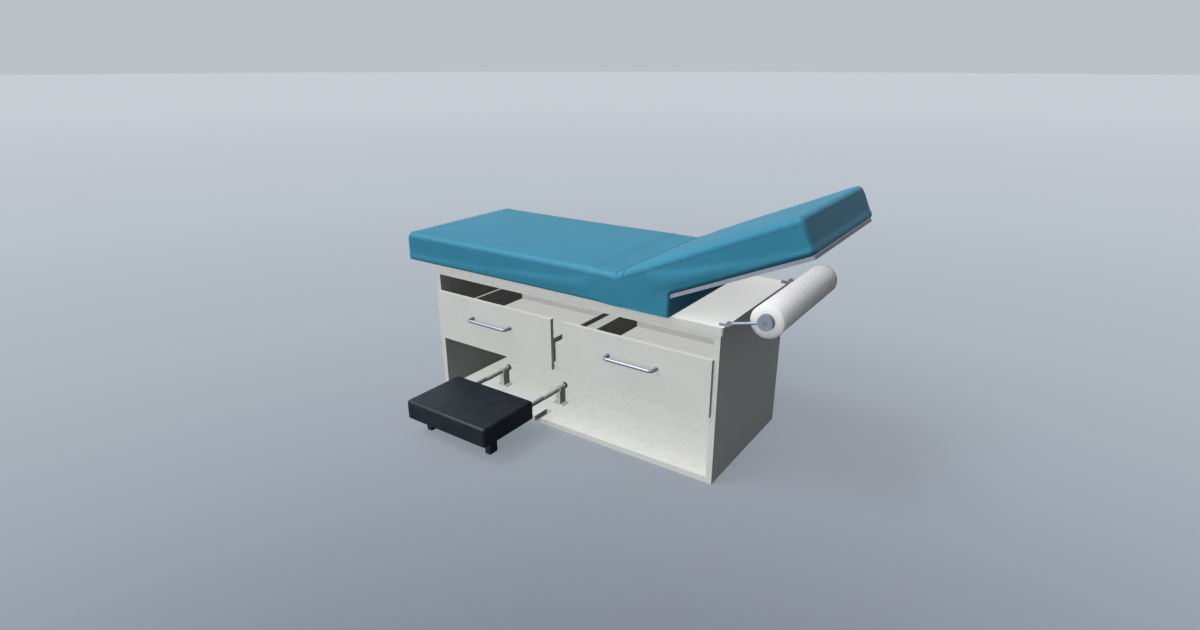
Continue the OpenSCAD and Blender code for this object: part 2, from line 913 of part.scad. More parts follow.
// A bracket holds a sleeve in its ring and stands on the floor panel
module guide_bracket(x) {
    difference() {
        union() {
            translate([x, 0, tube_z])
                rod_y(clamp_d, bracket_front_y, bracket_rear_y);
            block([x - bracket_post_w / 2, bracket_front_y, floor_t],
                [x + bracket_post_w / 2, bracket_rear_y, tube_z]);
            block([x - bracket_w / 2, bracket_front_y, floor_t],
                [x + bracket_w / 2, bracket_rear_y, floor_t + bracket_foot_t]);
        }
        translate([x, 0, tube_z])
            rod_y(sleeve_d, bracket_front_y - 1, bracket_rear_y + 1);
        bracket_screw_places(x)
            cylinder(d = bracket_screw_d + 0.4, h = 3 * bracket_foot_t, center = true);
    }
}

module step_guide_brackets() {
    color(laminate)
        for (x = tube_xs)
            guide_bracket(x);
}

module guide_bracket_screws() {
    color(zinc)
        for (x = tube_xs)
            bracket_screw_places(x)
                translate([0, 0, bracket_foot_t])
                    screw_down(bracket_screw_d, bracket_screw_l + bracket_foot_t);
}

// Seat

module seat_board() {
    x0 = seat_foot_x + seat_board_inset;
    w = cushion_w - 2 * seat_board_inset;
    color(timber)
        difference() {
            translate([x0, -w / 2, deck_top])
                linear_extrude(seat_board_t)
                    round_rect(seat_head_x - seat_board_inset - x0, w, 20);
            seat_bolt_places()
                cylinder(d = seat_bolt_d, h = seat_bolt_l);
        }
}

// The cushion wraps down around the board, and its end is hollowed for the back's round end
module seat_cushion() {
    x0 = seat_foot_x + seat_board_inset - soft_gap;
    x1 = seat_head_x - seat_board_inset + soft_gap;
    w = cushion_w - 2 * seat_board_inset + 2 * soft_gap;
    color(vinyl)
        difference() {
            translate([seat_foot_x, 0, seat_z])
                cushion(seat_l, cushion_w, seat_h - crown - soft_gap, cushion_r, fold_edge_r,
                    cushion_r, 1);
            translate([fold_x, 0, fold_z])
                rod_y(2 * (back_round_r + fold_gap), -cushion_w, cushion_w);
            block([fold_x - seat_top_back, -cushion_w, fold_z], [fold_x, cushion_w, fold_z + seat_h]);
            translate([x0, -w / 2, deck_top - 1])
                linear_extrude(seat_board_t + soft_gap + 1)
                    round_rect(x1 - x0, w, 20);
        }
}

module seat_bolts() {
    color(zinc)
        seat_bolt_places()
            mirror([0, 0, 1])
                screw_down(seat_bolt_d, seat_bolt_l);
}

// Side view of the space under the raised back, down to "low" below its hinge line
module skirt_outline(low) {
    gap = 1;
    difference() {
        translate([seat_head_x + gap, deck_top + soft_gap])
            square([skirt_end_x - seat_head_x - gap, 3 * back_h]);
        translate([fold_x, fold_z])
            circle(back_round_r + gap, $fn = 96);
        translate([fold_x, fold_z])
            rotate(back_angle)
                translate([0, -low - gap])
                    square([back_l, 4 * back_h]);
        translate([seat_head_x, fold_z - back_round_r / 2])
            square([fold_x - seat_head_x, 4 * back_h]);
    }
}

// A wall of the skirt between two places across the table
module skirt_wall(low, y0, y1) {
    translate([0, y1, 0])
        rotate([90, 0, 0])
            linear_extrude(y1 - y0)
                skirt_outline(low);
}

// The skirt closes the wedge under the fold on both sides and at its end
module fold_skirt() {
    outer_y = cushion_w / 2 - 0.5;
    inner_y = outer_y - skirt_t;
    color(vinyl) {
        both_sides()
            skirt_wall(back_round_r, inner_y, outer_y);
        intersection() {
            skirt_wall(back_round_r + back_board_t, -inner_y - tiny, inner_y + tiny);
            block([skirt_end_x - skirt_t, -outer_y, deck_top],
                [skirt_end_x + 1, outer_y, fold_z + 2 * back_h]);
        }
    }
}

// Back hinge

// A plate in the side view, hinge_plate_t thick, whose near face is at y
module side_plate(y) {
    translate([0, y + hinge_plate_t, 0])
        rotate([90, 0, 0])
            linear_extrude(hinge_plate_t)
                children();
}

hinge_foot_t = 5;
hinge_foot_w = 30;
hinge_post_w = 34;

module hinge_fixed_plates() {
    color(zinc)
        both_sides()
            translate([fold_x, 0, 0])
                difference() {
                    union() {
                        side_plate(hinge_y) {
                            translate([0, fold_z])
                                circle(hinge_eye_r);
                            translate([-hinge_post_w / 2, deck_top])
                                square([hinge_post_w, fold_z - deck_top]);
                        }
                        block([-hinge_post_w / 2, hinge_y, deck_top],
                            [hinge_post_w / 2, hinge_y + hinge_foot_w, deck_top + hinge_foot_t]);
                    }
                    translate([0, 0, fold_z])
                        rod_y(hinge_pin_d, hinge_y - 1, hinge_y + hinge_plate_t + 1);
                }
}

module hinge_pins() {
    color(steel)
        both_sides()
            translate([fold_x, 0, fold_z])
                rod_y(hinge_pin_d, leaf_y - ratchet_t - 2, hinge_y + hinge_plate_t + 4);
}

module hinge_moving_plates() {
    low = -back_round_r;
    color(zinc)
        both_sides()
            on_back()
                difference() {
                    union() {
                        side_plate(leaf_y) {
                            circle(hinge_eye_r);
                            translate([0, low])
                                square([leaf_l, -low - hinge_pin_d]);
                        }
                        block([board_start + 6, leaf_y - leaf_foot_w, low],
                            [leaf_l, leaf_y + hinge_plate_t, low + leaf_foot_t]);
                    }
                    rod_y(hinge_pin_d + 2 * hinge_clear, leaf_y - 1, leaf_y + hinge_plate_t + 1);
                    back_screw_places()
                        cylinder(d = back_screw_d, h = 4 * leaf_foot_t, center = true);
                }
}

module ratchet_housings() {
    color(steel)
        both_sides()
            translate([fold_x, 0, fold_z])
                ring_y(2 * ratchet_r, hinge_pin_d + 2 * hinge_clear, leaf_y - ratchet_t, leaf_y);
}

back_screw_d = 6;
back_screw_l = back_board_t + leaf_foot_t - 1;

// Screws that rise through the back board into the feet of the moving plates
module back_screw_places() {
    for (x = [board_start + leaf_l / 6, leaf_l - leaf_l / 8])
        translate([x, leaf_y - leaf_foot_w / 2, -back_round_r])
            children();
}

module back_screws() {
    color(zinc)
        both_sides()
            on_back()
                back_screw_places()
                    translate([0, 0, -back_board_t])
                        mirror([0, 0, 1])
                            screw_down(back_screw_d, back_screw_l);
}

module back_board() {
    w = cushion_w - 2 * draw_in - 2 * back_board_inset;
    x1 = back_l - back_board_inset;
    color(steel)
        difference() {
            on_back()
                translate([board_start, -w / 2, -back_round_r - back_board_t])
                    linear_extrude(back_board_t)
                        round_rect(x1 - board_start, w, 12);
            both_sides()
                on_back()
                    back_screw_places()
                        translate([0, 0, -back_board_t - 1])
                            cylinder(d = back_screw_d + 0.4, h = back_board_t + 2);
        }
}

// Room in the back cushion for one hinge
module hinge_pocket() {
    y0 = leaf_y - leaf_foot_w - 4;
    y1 = hinge_y + hinge_plate_t + 6;
    low = -back_round_r - 2;
    block([-back_round_r - 2, y0, low], [board_start, y1, ratchet_r + 4]);
    block([board_start - 1, y0, low], [leaf_l + 4, y1, -hinge_pin_d + 4]);
}

module back_cushion() {
    color(vinyl)
        on_back()
            difference() {
                translate([-back_round_r, 0, -back_round_r + soft_gap])
                    cushion(back_l + back_round_r, cushion_w, back_h - soft_gap,
                        back_round_r - 1, cushion_r, fold_edge_r, cushion_r);
                both_sides()
                    hinge_pocket();
            }
}

// Paper roll and its swinging holder

// Places a child at the arm's pivot, with x along the arm
module on_arm() {
    translate([pivot_x, 0, pivot_z])
        rotate([0, -arm_angle, 0])
            children();
}

// Screws that hold each bracket on the deck
module holder_screw_places() {
    y = arm_y - holder_plate_w + holder_screw_d + 1;
    for (side = [-1, 1], x = [pivot_x - holder_plate_l + 7, head_x + deck_over - 7])
        translate([x, side * y, deck_top + holder_plate_t])
            children();
}

module roll_brackets() {
    color(steel)
        difference() {
            both_sides()
                difference() {
                    union() {
                        translate([pivot_x, 0, pivot_z])
                            rod_y(2 * eye_r, arm_y - lug_t, arm_y);
                        block([pivot_x - holder_plate_l, arm_y - lug_t, deck_top],
                            [pivot_x, arm_y, deck_top + eye_r]);
                        block([pivot_x - holder_plate_l, arm_y - holder_plate_w, deck_top],
                            [head_x + deck_over, arm_y, deck_top + holder_plate_t]);
                    }
                    translate([pivot_x, 0, pivot_z])
                        rod_y(pivot_pin_d, arm_y - lug_t - 1, arm_y + 1);
                }
            holder_screw_places()
                cylinder(d = holder_screw_d + 0.4, h = 4 * holder_plate_t, center = true);
        }
}

module roll_bracket_screws() {
    color(zinc)
        holder_screw_places()
            screw_down(holder_screw_d, holder_screw_l);
}

module roll_pivot_pins() {
    color(zinc)
        both_sides()
            translate([pivot_x, 0, pivot_z])
                rod_y(pivot_pin_d, arm_y - lug_t - 1, arm_y + eye_gap + eye_t + 1);
}

// The arm's eye turns on the pivot pin, outside the bracket
module roll_arms() {
    eye_y0 = arm_y + eye_gap;
    eye_y1 = eye_y0 + eye_t;
    rod_start = eye_r + 4;
    color(steel)
        both_sides()
            difference() {
                on_arm() {
                    rod_y(2 * eye_r, eye_y0, eye_y1);
                    block([0, eye_y0, 1 - arm_d / 2], [rod_start + 2, eye_y1, arm_d / 2 - 1]);
                    translate([rod_start, arm_y, 0])
                        rotate([0, 90, 0])
                            cylinder(d = arm_d, h = arm_length - rod_start);
                    translate([arm_length, 0, 0])
                        rod_y(arm_cap_d, arm_y - arm_cap_t / 2, arm_y + arm_cap_t / 2);
                }
                translate([pivot_x, 0, pivot_z])
                    rod_y(pivot_pin_d + 0.1, eye_y0 - 1, eye_y1 + 1);
                translate([roll_x, 0, roll_z])
                    rod_y(spindle_d, arm_y - arm_cap_t, arm_y + arm_cap_t);
            }
}

module roll_spindle() {
    color(zinc)
        translate([roll_x, 0, roll_z])
            rod_y(spindle_d, -arm_y - arm_cap_t / 2, arm_y + arm_cap_t / 2);
}

module paper_roll() {
    color(paper)
        translate([roll_x, 0, roll_z])
            ring_y(roll_d, core_d, -roll_l / 2, roll_l / 2, $fn = 96);
}

module roll_core() {
    color(timber)
        translate([roll_x, 0, roll_z])
            ring_y(core_d, core_d - 2 * core_wall, -roll_l / 2, roll_l / 2);
}

// Flanged plugs that run on the spindle
module roll_hubs() {
    plug_d = core_d - 2 * core_wall;
    plug_l = 36;
    y1 = roll_l / 2;
    color(dark)
        translate([roll_x, 0, roll_z])
            both_sides()
                difference() {
                    union() {
                        rod_y(plug_d, y1 - plug_l, y1);
                        rod_y(core_d + 16, y1, y1 + roll_hub_flange_t);
                    }
                    rod_y(spindle_d + 0.1, y1 - plug_l - 1, y1 + roll_hub_flange_t + 1);
                }
}

foot_end_panel();
head_end_panel();
floor_panel();
top_panel();
back_panel();
deck();
front_rail();
centre_beam();
carcass_dowels();
deck_screws();
left_drawer_channels();
right_drawer_channels();
left_drawer_front();
left_drawer_outer_side();
left_drawer_inner_side();
left_drawer_back();
left_drawer_bottom();
left_drawer_rails();
left_drawer_handle();
left_handle_screws();
right_drawer_front();
right_drawer_outer_side();
right_drawer_inner_side();
right_drawer_back();
right_drawer_bottom();
right_drawer_rails();
right_drawer_handle();
right_handle_screws();
step_guide_sleeves();
step_guide_brackets();
guide_bracket_screws();
step_tread();
step_frame_plate();
step_left_leg();
step_right_leg();
step_feet();
step_tubes();
step_collars();
step_screws();
seat_board();
seat_cushion();
seat_bolts();
fold_skirt();
hinge_fixed_plates();
hinge_pins();
hinge_moving_plates();
ratchet_housings();
back_board();
back_cushion();
back_screws();
roll_brackets();
roll_bracket_screws();
roll_pivot_pins();
roll_arms();
roll_spindle();
paper_roll();
roll_core();
roll_hubs();
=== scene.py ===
"""Looks of the examination table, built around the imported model. Metres, in the model's frame."""

import json
from math import cos, exp, pi, radians, sin, sqrt, tan

import bmesh
import bpy
from mathutils import Matrix, Vector
from mathutils.bvhtree import BVHTree
from mathutils.kdtree import KDTree

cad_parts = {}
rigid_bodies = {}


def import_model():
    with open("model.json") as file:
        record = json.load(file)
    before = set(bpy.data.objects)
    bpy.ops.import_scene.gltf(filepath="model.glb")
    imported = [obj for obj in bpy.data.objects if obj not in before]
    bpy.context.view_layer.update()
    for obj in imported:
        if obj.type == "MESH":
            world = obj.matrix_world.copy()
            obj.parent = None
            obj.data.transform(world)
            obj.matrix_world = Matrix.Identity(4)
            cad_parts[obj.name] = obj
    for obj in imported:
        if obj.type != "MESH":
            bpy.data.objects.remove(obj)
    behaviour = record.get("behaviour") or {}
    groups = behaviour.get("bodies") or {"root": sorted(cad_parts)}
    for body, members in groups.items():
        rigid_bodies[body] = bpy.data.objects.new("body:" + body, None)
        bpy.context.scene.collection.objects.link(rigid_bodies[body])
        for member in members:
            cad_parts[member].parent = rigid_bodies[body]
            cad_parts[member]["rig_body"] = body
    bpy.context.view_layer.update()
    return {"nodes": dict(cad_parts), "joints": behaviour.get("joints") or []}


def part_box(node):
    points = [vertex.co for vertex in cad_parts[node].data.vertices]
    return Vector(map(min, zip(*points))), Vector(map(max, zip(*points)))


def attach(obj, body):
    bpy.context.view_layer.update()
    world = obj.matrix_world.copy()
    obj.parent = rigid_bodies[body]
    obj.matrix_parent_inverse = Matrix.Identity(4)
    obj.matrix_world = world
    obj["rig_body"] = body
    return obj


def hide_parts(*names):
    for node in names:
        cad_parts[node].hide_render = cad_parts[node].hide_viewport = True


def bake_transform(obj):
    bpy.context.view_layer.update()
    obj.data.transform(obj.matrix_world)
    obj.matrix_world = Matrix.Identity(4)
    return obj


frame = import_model()
scene = bpy.context.scene


# Colours

def linear(hex_colour):
    """A written colour such as d3d5d1 as linear red, green, blue and alpha."""
    values = [int(hex_colour[i:i + 2], 16) / 255 for i in (0, 2, 4)]
    return [v / 12.92 if v <= 0.04045 else ((v + 0.055) / 1.055) ** 2.4 for v in values] + [1]


# Materials

SCUFFED_HEIGHT = 0.09    # boards are scuffed up to here, from shoes and mops


def feed(tree, node, inputs):
    """Gives a node's inputs numbers, colours written as text or other nodes' outputs. Returns its outputs."""
    for key, value in inputs.items():
        if isinstance(value, (int, float, tuple)):
            node.inputs[key].default_value = value
        elif isinstance(value, str):
            node.inputs[key].default_value = linear(value)
        elif value is not None:
            tree.links.new(value, node.inputs[key])
    return node.outputs


class Nodes:
    """Short calls for building one material's node tree."""

    def __init__(self, name):
        self.material = bpy.data.materials.new(name)
        self.material.use_nodes = True
        self.tree = self.material.node_tree
        self.place = self.tree.nodes.new("ShaderNodeTexCoord").outputs["Object"]

    def add(self, kind, inputs, **settings):
        """The outputs of a new node."""
        node = self.tree.nodes.new("ShaderNode" + kind)
        for key, value in settings.items():
            setattr(node, key, value)
        return feed(self.tree, node, inputs)

    def stretched(self, scale):
        """Places scaled by a different factor along each axis, for a grain."""
        return self.add("Mapping", {"Scale": scale, "Vector": self.place})["Vector"]

    def noise(self, scale, detail=3.0, rough=0.5, vector=None):
        """Soft noise from 0 to 1."""
        return self.add("TexNoise", {"Scale": scale, "Detail": detail, "Roughness": rough,
                                     "Vector": vector or self.place})["Fac"]

    def cells(self, scale, feature="F1"):
        """The distance from the middles of small cells, or from their edges."""
        return self.add("TexVoronoi", {"Scale": scale, "Vector": self.place}, feature=feature)["Distance"]

    def ramp(self, value, low, high, out_low, out_high):
        """Turns low to high into out_low to out_high, and stays there beyond."""
        return self.add("MapRange", {"Value": value, "From Min": low, "From Max": high,
                                     "To Min": out_low, "To Max": out_high})["Result"]

    def math(self, operation, a, b):
        return self.add("Math", {0: a, 1: b}, operation=operation)["Value"]

    def mix(self, amount, a, b):
        """Colour a turning into colour b."""
        return self.add("Mix", {0: amount, 6: a, 7: b}, data_type="RGBA")[2]

    def bump(self, height, distance, strength=1.0, before=None):
        """A normal that follows a height, over another bump if there is one."""
        return self.add("Bump", {"Distance": distance, "Strength": strength, "Height": height,
                                 "Normal": before})["Normal"]

    def part(self, axis):
        """The place along X, Y or Z."""
        return self.add("SeparateXYZ", {0: self.place})[axis]

    def away(self, centre, axes):
        """The distance from the centre, along two of the axes only."""
        squares = []
        for axis in axes:
            offset = self.math("SUBTRACT", self.part(axis), centre["XYZ".index(axis)])
            squares.append(self.math("MULTIPLY", offset, offset))
        return self.math("SQRT", self.math("ADD", *squares), 0)

    def finish(self, colour, rough, normal=None, **fixed):
        """Joins colour, roughness and normal to the shader, and sets its other sockets."""
        sockets = {"Base Color": colour, "Roughness": rough, "Normal": normal}
        sockets.update((key.replace("_", " "), value) for key, value in fixed.items())
        feed(self.tree, self.tree.nodes["Principled BSDF"], sockets)
        return self.material


def laminate(name, tone, darker, scuffs=False):
    """Melamine faced board: a fine speckle, soft mottling and a satin print."""
    n = Nodes(name)
    fine = n.ramp(n.noise(1400, 2), 0.35, 0.65, 0, 1)
    cloudy = n.ramp(n.noise(9, 4), 0.3, 0.7, 0, 1)
    amount = n.math("ADD", n.math("MULTIPLY", fine, 0.5), n.math("MULTIPLY", cloudy, 0.4))
    colour = n.mix(n.math("MULTIPLY", amount, 0.5), tone, darker)
    if scuffs:
        low = n.ramp(n.part("Z"), 0.0, SCUFFED_HEIGHT, 1, 0)
        marks = n.ramp(n.noise(26, 6, 0.7, n.stretched((1, 1, 5))), 0.52, 0.72, 0, 0.30)
        colour = n.mix(n.math("MULTIPLY", low, marks), colour, "8d8c86")
    rough = n.ramp(n.noise(40, 4), 0.3, 0.7, 0.40, 0.52)
    normal = n.bump(n.noise(2300, 2), 0.00006, 0.35)
    return n.finish(colour, rough, normal, Specular_IOR_Level=0.25)


def edge_band(name, tone, darker):
    """Plastic edging, a little glossier than the faces, with fine saw chatter along it."""
    n = Nodes(name)
    colour = n.mix(n.ramp(n.noise(60, 4), 0.35, 0.65, 0, 0.6), tone, darker)
    rough = n.ramp(n.noise(300, 2), 0.3, 0.7, 0.30, 0.42)
    return n.finish(colour, rough, n.bump(n.noise(900, 2), 0.00005, 0.4))


def vinyl(name, tone, darker, worn):
    """Coated fabric with leather grain: small cells with painted shade in their hollows, a few wider creases
    and a soft shine.
    """
    n = Nodes(name)
    cells = n.cells(620, "DISTANCE_TO_EDGE")
    pits = n.ramp(cells, 0.0, 0.16, 0, 1)
    cloudy = n.ramp(n.noise(5, 5, 0.6), 0.3, 0.7, 0.15, 0.75)
    rubbed = n.ramp(n.noise(17, 6, 0.6), 0.55, 0.8, 0, 0.22)
    colour = n.mix(cloudy, tone, darker)
    colour = n.mix(rubbed, colour, worn)
    # painted shade: the grain's recessed cell edges are darkened towards deep navy
    colour = n.mix(n.math("MULTIPLY", n.math("SUBTRACT", 1, pits), 0.22), colour, "123544")
    rough = n.ramp(n.math("ADD", pits, cloudy), 0.4, 1.6, 0.56, 0.48)
    normal = n.bump(n.noise(55, 5, 0.55), 0.0009, 0.22)
    normal = n.bump(pits, 0.00012, 0.5, normal)
    return n.finish(colour, rough, normal, Specular_IOR_Level=0.20, Sheen_Weight=0.04, Sheen_Roughness=0.5)


def moulded(name, tone, darker, grain=1.0, rough=0.42):
    """Moulded plastic with a pebbled surface."""
    n = Nodes(name)
    pebbles = n.cells(700)
    colour = n.mix(n.ramp(n.noise(14, 5), 0.35, 0.65, 0, 1), tone, darker)
    shine = n.ramp(n.noise(70, 5), 0.3, 0.7, rough - 0.06, rough + 0.08)
    normal = n.bump(pebbles, 0.00018 * grain, 0.5)
    return n.finish(colour, shine, n.bump(n.noise(30, 3), 0.0004, 0.15, normal), Specular_IOR_Level=0.3)


def metal(name, tone, darker, rough=0.32, brushed=(1, 1, 1), metallic=0.85):
    """Plated or brushed steel with fine lines along one direction."""
    n = Nodes(name)
    lines = n.noise(420, 3, 0.6, n.stretched(brushed))
    colour = n.mix(n.ramp(lines, 0.3, 0.7, 0, 0.7), tone, darker)
    shine = n.ramp(lines, 0.3, 0.7, rough - 0.07, rough + 0.09)
    return n.finish(colour, shine, n.bump(lines, 0.00005, 0.25), Metallic=metallic)


def powder_coat(name, tone, darker, rough=0.45):
    """Powder coated steel: an even colour with a fine orange peel."""
    n = Nodes(name)
    colour = n.mix(n.ramp(n.noise(22, 5), 0.35, 0.65, 0, 0.8), tone, darker)
    shine = n.ramp(n.noise(160, 4), 0.3, 0.7, rough - 0.05, rough + 0.07)
    return n.finish(colour, shine, n.bump(n.noise(700, 2), 0.00012, 0.4))


def paper_sheet(name):
    """Crepe paper on the roll's side: fine cross ripples and a fibrous fleck."""
    n = Nodes(name)
    ripples = n.noise(520, 3, 0.6, n.stretched((1, 0.12, 1)))
    colour = n.mix(n.ramp(n.noise(35, 5), 0.35, 0.65, 0, 1), "f8f9fa", "eff1f3")
    return n.finish(colour, 0.85, n.bump(ripples, 0.00025, 0.5), Sheen_Weight=0.1,
                    Subsurface_Weight=0.9, Subsurface_Radius=(1, 1, 1), Subsurface_Scale=0.1)


def paper_ends(name, centre):
    """Wound paper seen from its end: thin rings round the axis."""
    n = Nodes(name)
    rings = n.math("SINE", n.math("MULTIPLY", n.away(centre, "XZ"), 9000), 0)
    uneven = n.math("MULTIPLY", rings, n.noise(240, 4, 0.6))
    colour = n.mix(n.ramp(uneven, -0.6, 0.6, 0, 0.5), "f4f5f6", "d8dce0")
    return n.finish(colour, 0.9, n.bump(uneven, 0.0002, 0.5))


def wood_ply(name, tone, darker):
    """Plywood or timber with a stretched grain."""
    n = Nodes(name)
    grain = n.noise(24, 8, 0.62, n.stretched((0.35, 6, 6)))
    colour = n.mix(n.ramp(grain, 0.35, 0.65, 0, 1), tone, darker)
    return n.finish(colour, n.ramp(grain, 0.3, 0.7, 0.55, 0.72), n.bump(grain, 0.0002, 0.4))


def kraft(name):
    """Cardboard with loose fibres."""
    n = Nodes(name)
    fibres = n.noise(320, 5, 0.7, n.stretched((1, 0.3, 1)))
    colour = n.mix(n.ramp(fibres, 0.35, 0.65, 0, 1), "b49a76", "9a815f")
    return n.finish(colour, 0.88, n.bump(fibres, 0.00015, 0.5))


def thread(name, tone, darker):
    """Sewing thread with its twist."""
    n = Nodes(name)
    twist = n.noise(2600, 2)
    colour = n.mix(n.ramp(twist, 0.4, 0.6, 0, 1), tone, darker)
    return n.finish(colour, 0.7, n.bump(twist, 0.0001, 0.5), Sheen_Weight=0.2)


MATERIALS = {
    "laminate": laminate("laminate_white_grey", "dcdeda", "cfd1cd", scuffs=True),
    # painted light: the deck's faces get a lighter copy of the board laminate, standing in for light where
    # the back's shadow falls on it
    "deck": laminate("laminate_deck_painted_light", "eeefec", "e4e5e2", scuffs=True),
    "front": laminate("laminate_drawer_front", "d6d8d4", "c8cac6"),
    "inner": laminate("laminate_drawer_board", "dfe0dc", "d2d3cf"),
    "band": edge_band("edging_white_grey", "d8dad6", "cccec9"),
    "vinyl": vinyl("vinyl_teal", "398ba7", "317f9b", "4895b0"),
    "welt": vinyl("vinyl_teal_seam", "347894", "2c6b86", "40839e"),
    "thread": thread("thread_teal", "37788f", "285c72"),
    "tread": moulded("plastic_tread", "222932", "1b2128", 1.6, 0.44),
    "hub": moulded("plastic_hub", "8f9ba8", "7f8b98", 0.6, 0.40),
    "rubber": moulded("rubber_feet", "20242a", "171a1f", 1.0, 0.62),
    "steel": metal("steel_satin", "a4abb8", "8f97a5", 0.42, (6, 6, 1), metallic=0.55),
    "tube": metal("tube_satin", "98a4b1", "8b97a4", 0.45, (6, 6, 1), metallic=0.3),
    "zinc": metal("steel_zinc_plated", "b4b8bd", "969ba2", 0.36),
    "coat": powder_coat("paint_blue_grey", "949cab", "868e9d"),
    "dark": powder_coat("paint_dark", "242b34", "1c222a", 0.46),
    "guide": powder_coat("paint_pale_grey", "d0d2ce", "c4c6c2"),
    "board": powder_coat("back_board_paint", "9ba3b1", "8c94a3", 0.5),
    "timber": wood_ply("plywood", "c9ad83", "b39467"),
    "paper": paper_sheet("paper_roll_side"),
    "kraft": kraft("cardboard_core"),
}


def wear(obj, *names):
    """Puts materials on a piece, the first for every face unless the mesh says otherwise."""
    obj.data.materials.clear()
    for name in names:
        obj.data.materials.append(MATERIALS[name] if isinstance(name, str) else name)
    return obj


# Mesh helpers

def new_object(name, mesh):
    """An object in the scene that shows the mesh."""
    obj = bpy.data.objects.new(name, mesh)
    scene.collection.objects.link(obj)
    return obj


def mesh_from(name, points, faces):
    """A mesh from points and faces given by their points' numbers."""
    mesh = bpy.data.meshes.new(name)
    mesh.from_pydata([tuple(p) for p in points], [], faces)
    mesh.validate()
    mesh.update()
    return mesh


def from_bmesh(name, bm):
    """An object from a finished bmesh, which is freed."""
    mesh = bpy.data.meshes.new(name)
    bm.normal_update()
    bm.to_mesh(mesh)
    bm.free()
    return new_object(name, mesh)


def turned_outward(obj):
    """Makes every face of a closed piece look outward."""
    bm = bmesh.new()
    bm.from_mesh(obj.data)
    bmesh.ops.recalc_face_normals(bm, faces=bm.faces)
    bm.to_mesh(obj.data)
    bm.free()
    return obj


def smooth(obj, angle=None):
    """Smooth shading, with edges sharper than the angle kept crisp."""
    mesh = obj.data
    mesh.polygons.foreach_set("use_smooth", [True] * len(mesh.polygons))
    if angle is not None:
        mesh.set_sharp_from_angle(angle=radians(angle))
    mesh.update()
    return obj


def apply_modifiers(obj):
    """Makes what the modifiers show the object's own mesh."""
    graph = bpy.context.evaluated_depsgraph_get()
    made = bpy.data.meshes.new_from_object(obj.evaluated_get(graph))
    obj.modifiers.clear()
    obj.data = made
    return obj


def eased_edges(obj, width, segments, angle=None):
    """Rounds the edges of a piece, all of them or those sharper than the angle."""
    ease = obj.modifiers.new("ease", "BEVEL")
    ease.width = width
    ease.segments = segments
    if angle is not None:
        ease.limit_method = "ANGLE"
        ease.angle_limit = radians(angle)
    return apply_modifiers(obj)


def softened(node, width, segments=2, angle=30):
    """A copy of a CAD node whose edges are eased, which stands for the node."""
    source = frame["nodes"][node]
    bm = bmesh.new()
    bm.from_mesh(source.data)
    bmesh.ops.remove_doubles(bm, verts=bm.verts, dist=2e-6)
    bmesh.ops.dissolve_limit(bm, angle_limit=radians(1), verts=bm.verts, edges=bm.edges)
    obj = eased_edges(from_bmesh(node + "_eased", bm), width, segments, angle)
    flat = smooth(obj, 40).modifiers.new("flat", "WEIGHTED_NORMAL")    # keeps wide faces flat
    flat.keep_sharp = True
    flat.weight = 100
    apply_modifiers(obj)
    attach(obj, source["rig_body"])
    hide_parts(node)
    return obj


def banded(obj, face, band):
    """Board faces get one material and the thin edges another."""
    places = list(zip(*(v.co for v in obj.data.vertices)))
    thin = min(range(3), key=lambda i: max(places[i]) - min(places[i]))
    wear(obj, face, band)
    for polygon in obj.data.polygons:
        polygon.material_index = 0 if abs(polygon.normal[thin]) > 0.7 else 1
    return obj


def turns(sides):
    """The angles of a whole turn, in radians."""
    return [2 * pi * j / sides for j in range(sides)]


def bands(rings, width, closed=True, flip=False):
    """The faces between rings of points that follow each other in a mesh, each as wide as the next."""
    faces = []
    for i in range(rings - 1):
        for j in range(width if closed else width - 1):
            a, b = i * width + j, i * width + (j + 1) % width
            faces.append((a, a + width, b + width, b) if flip else (a, b, b + width, a + width))
    return faces


def tube_mesh(name, path, radius, sides):
    """A round tube along a path, its ends closed. The radius is a number, or a list with one per point."""
    count = len(path)
    radii = radius if isinstance(radius, list) else [radius] * count
    points, normal = [], None
    for i, p in enumerate(path):
        along = (path[min(i + 1, count - 1)] - path[max(i - 1, 0)]).normalized()
        if normal is None:
            normal = along.orthogonal().normalized()
        normal = (normal - along * normal.dot(along)).normalized()
        across = along.cross(normal)
        r = radii[i]
        points += [p + normal * (r * cos(a)) + across * (r * sin(a)) for a in turns(sides)]
    faces = bands(count, sides) + [tuple(range(sides))[::-1]]
    faces.append(tuple((count - 1) * sides + j for j in range(sides)))
    return mesh_from(name, points, faces)


def joined(name, meshes):
    """One object from several meshes, each with its place baked in."""
    bm = bmesh.new()
    for mesh in meshes:
        bm.from_mesh(mesh)
    return from_bmesh(name, bm)


def block_object(name, low, high):
    """A plain block between two corners, used to cut and to build."""
    bm = bmesh.new()
    bmesh.ops.create_cube(bm, size=1)
    for v in bm.verts:
        v.co = Vector([low[i] if v.co[i] < 0 else high[i] for i in range(3)])
    return from_bmesh(name, bm)


def boolean(obj, other, operation):
    """Cuts, or joins, another piece from or to this one, and removes the other."""
    step = obj.modifiers.new("join", "BOOLEAN")
    step.object = other
    step.operation = operation
    step.solver = "EXACT"
    apply_modifiers(obj)
    bpy.data.objects.remove(other)
    return obj


def prism(name, outline, half):
    """A closed bar across the table with the given outline in x and z."""
    n = len(outline)
    points = [Vector((x, side * half, z)) for side in (-1, 1) for x, z in outline]
    faces = [tuple(range(n))[::-1], tuple(range(n, 2 * n))] + bands(2, n)
    return turned_outward(new_object(name, mesh_from(name, points, faces)))


def middle(node):
    """The middle of a CAD node's box."""
    low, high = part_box(node)
    return (low + high) / 2


def quarter(steps):
    """The angles of a quarter turn, in radians, from 0 up to 90 degrees."""
    return [radians(90 * i / steps) for i in range(steps + 1)]


# Sizes of the cushions

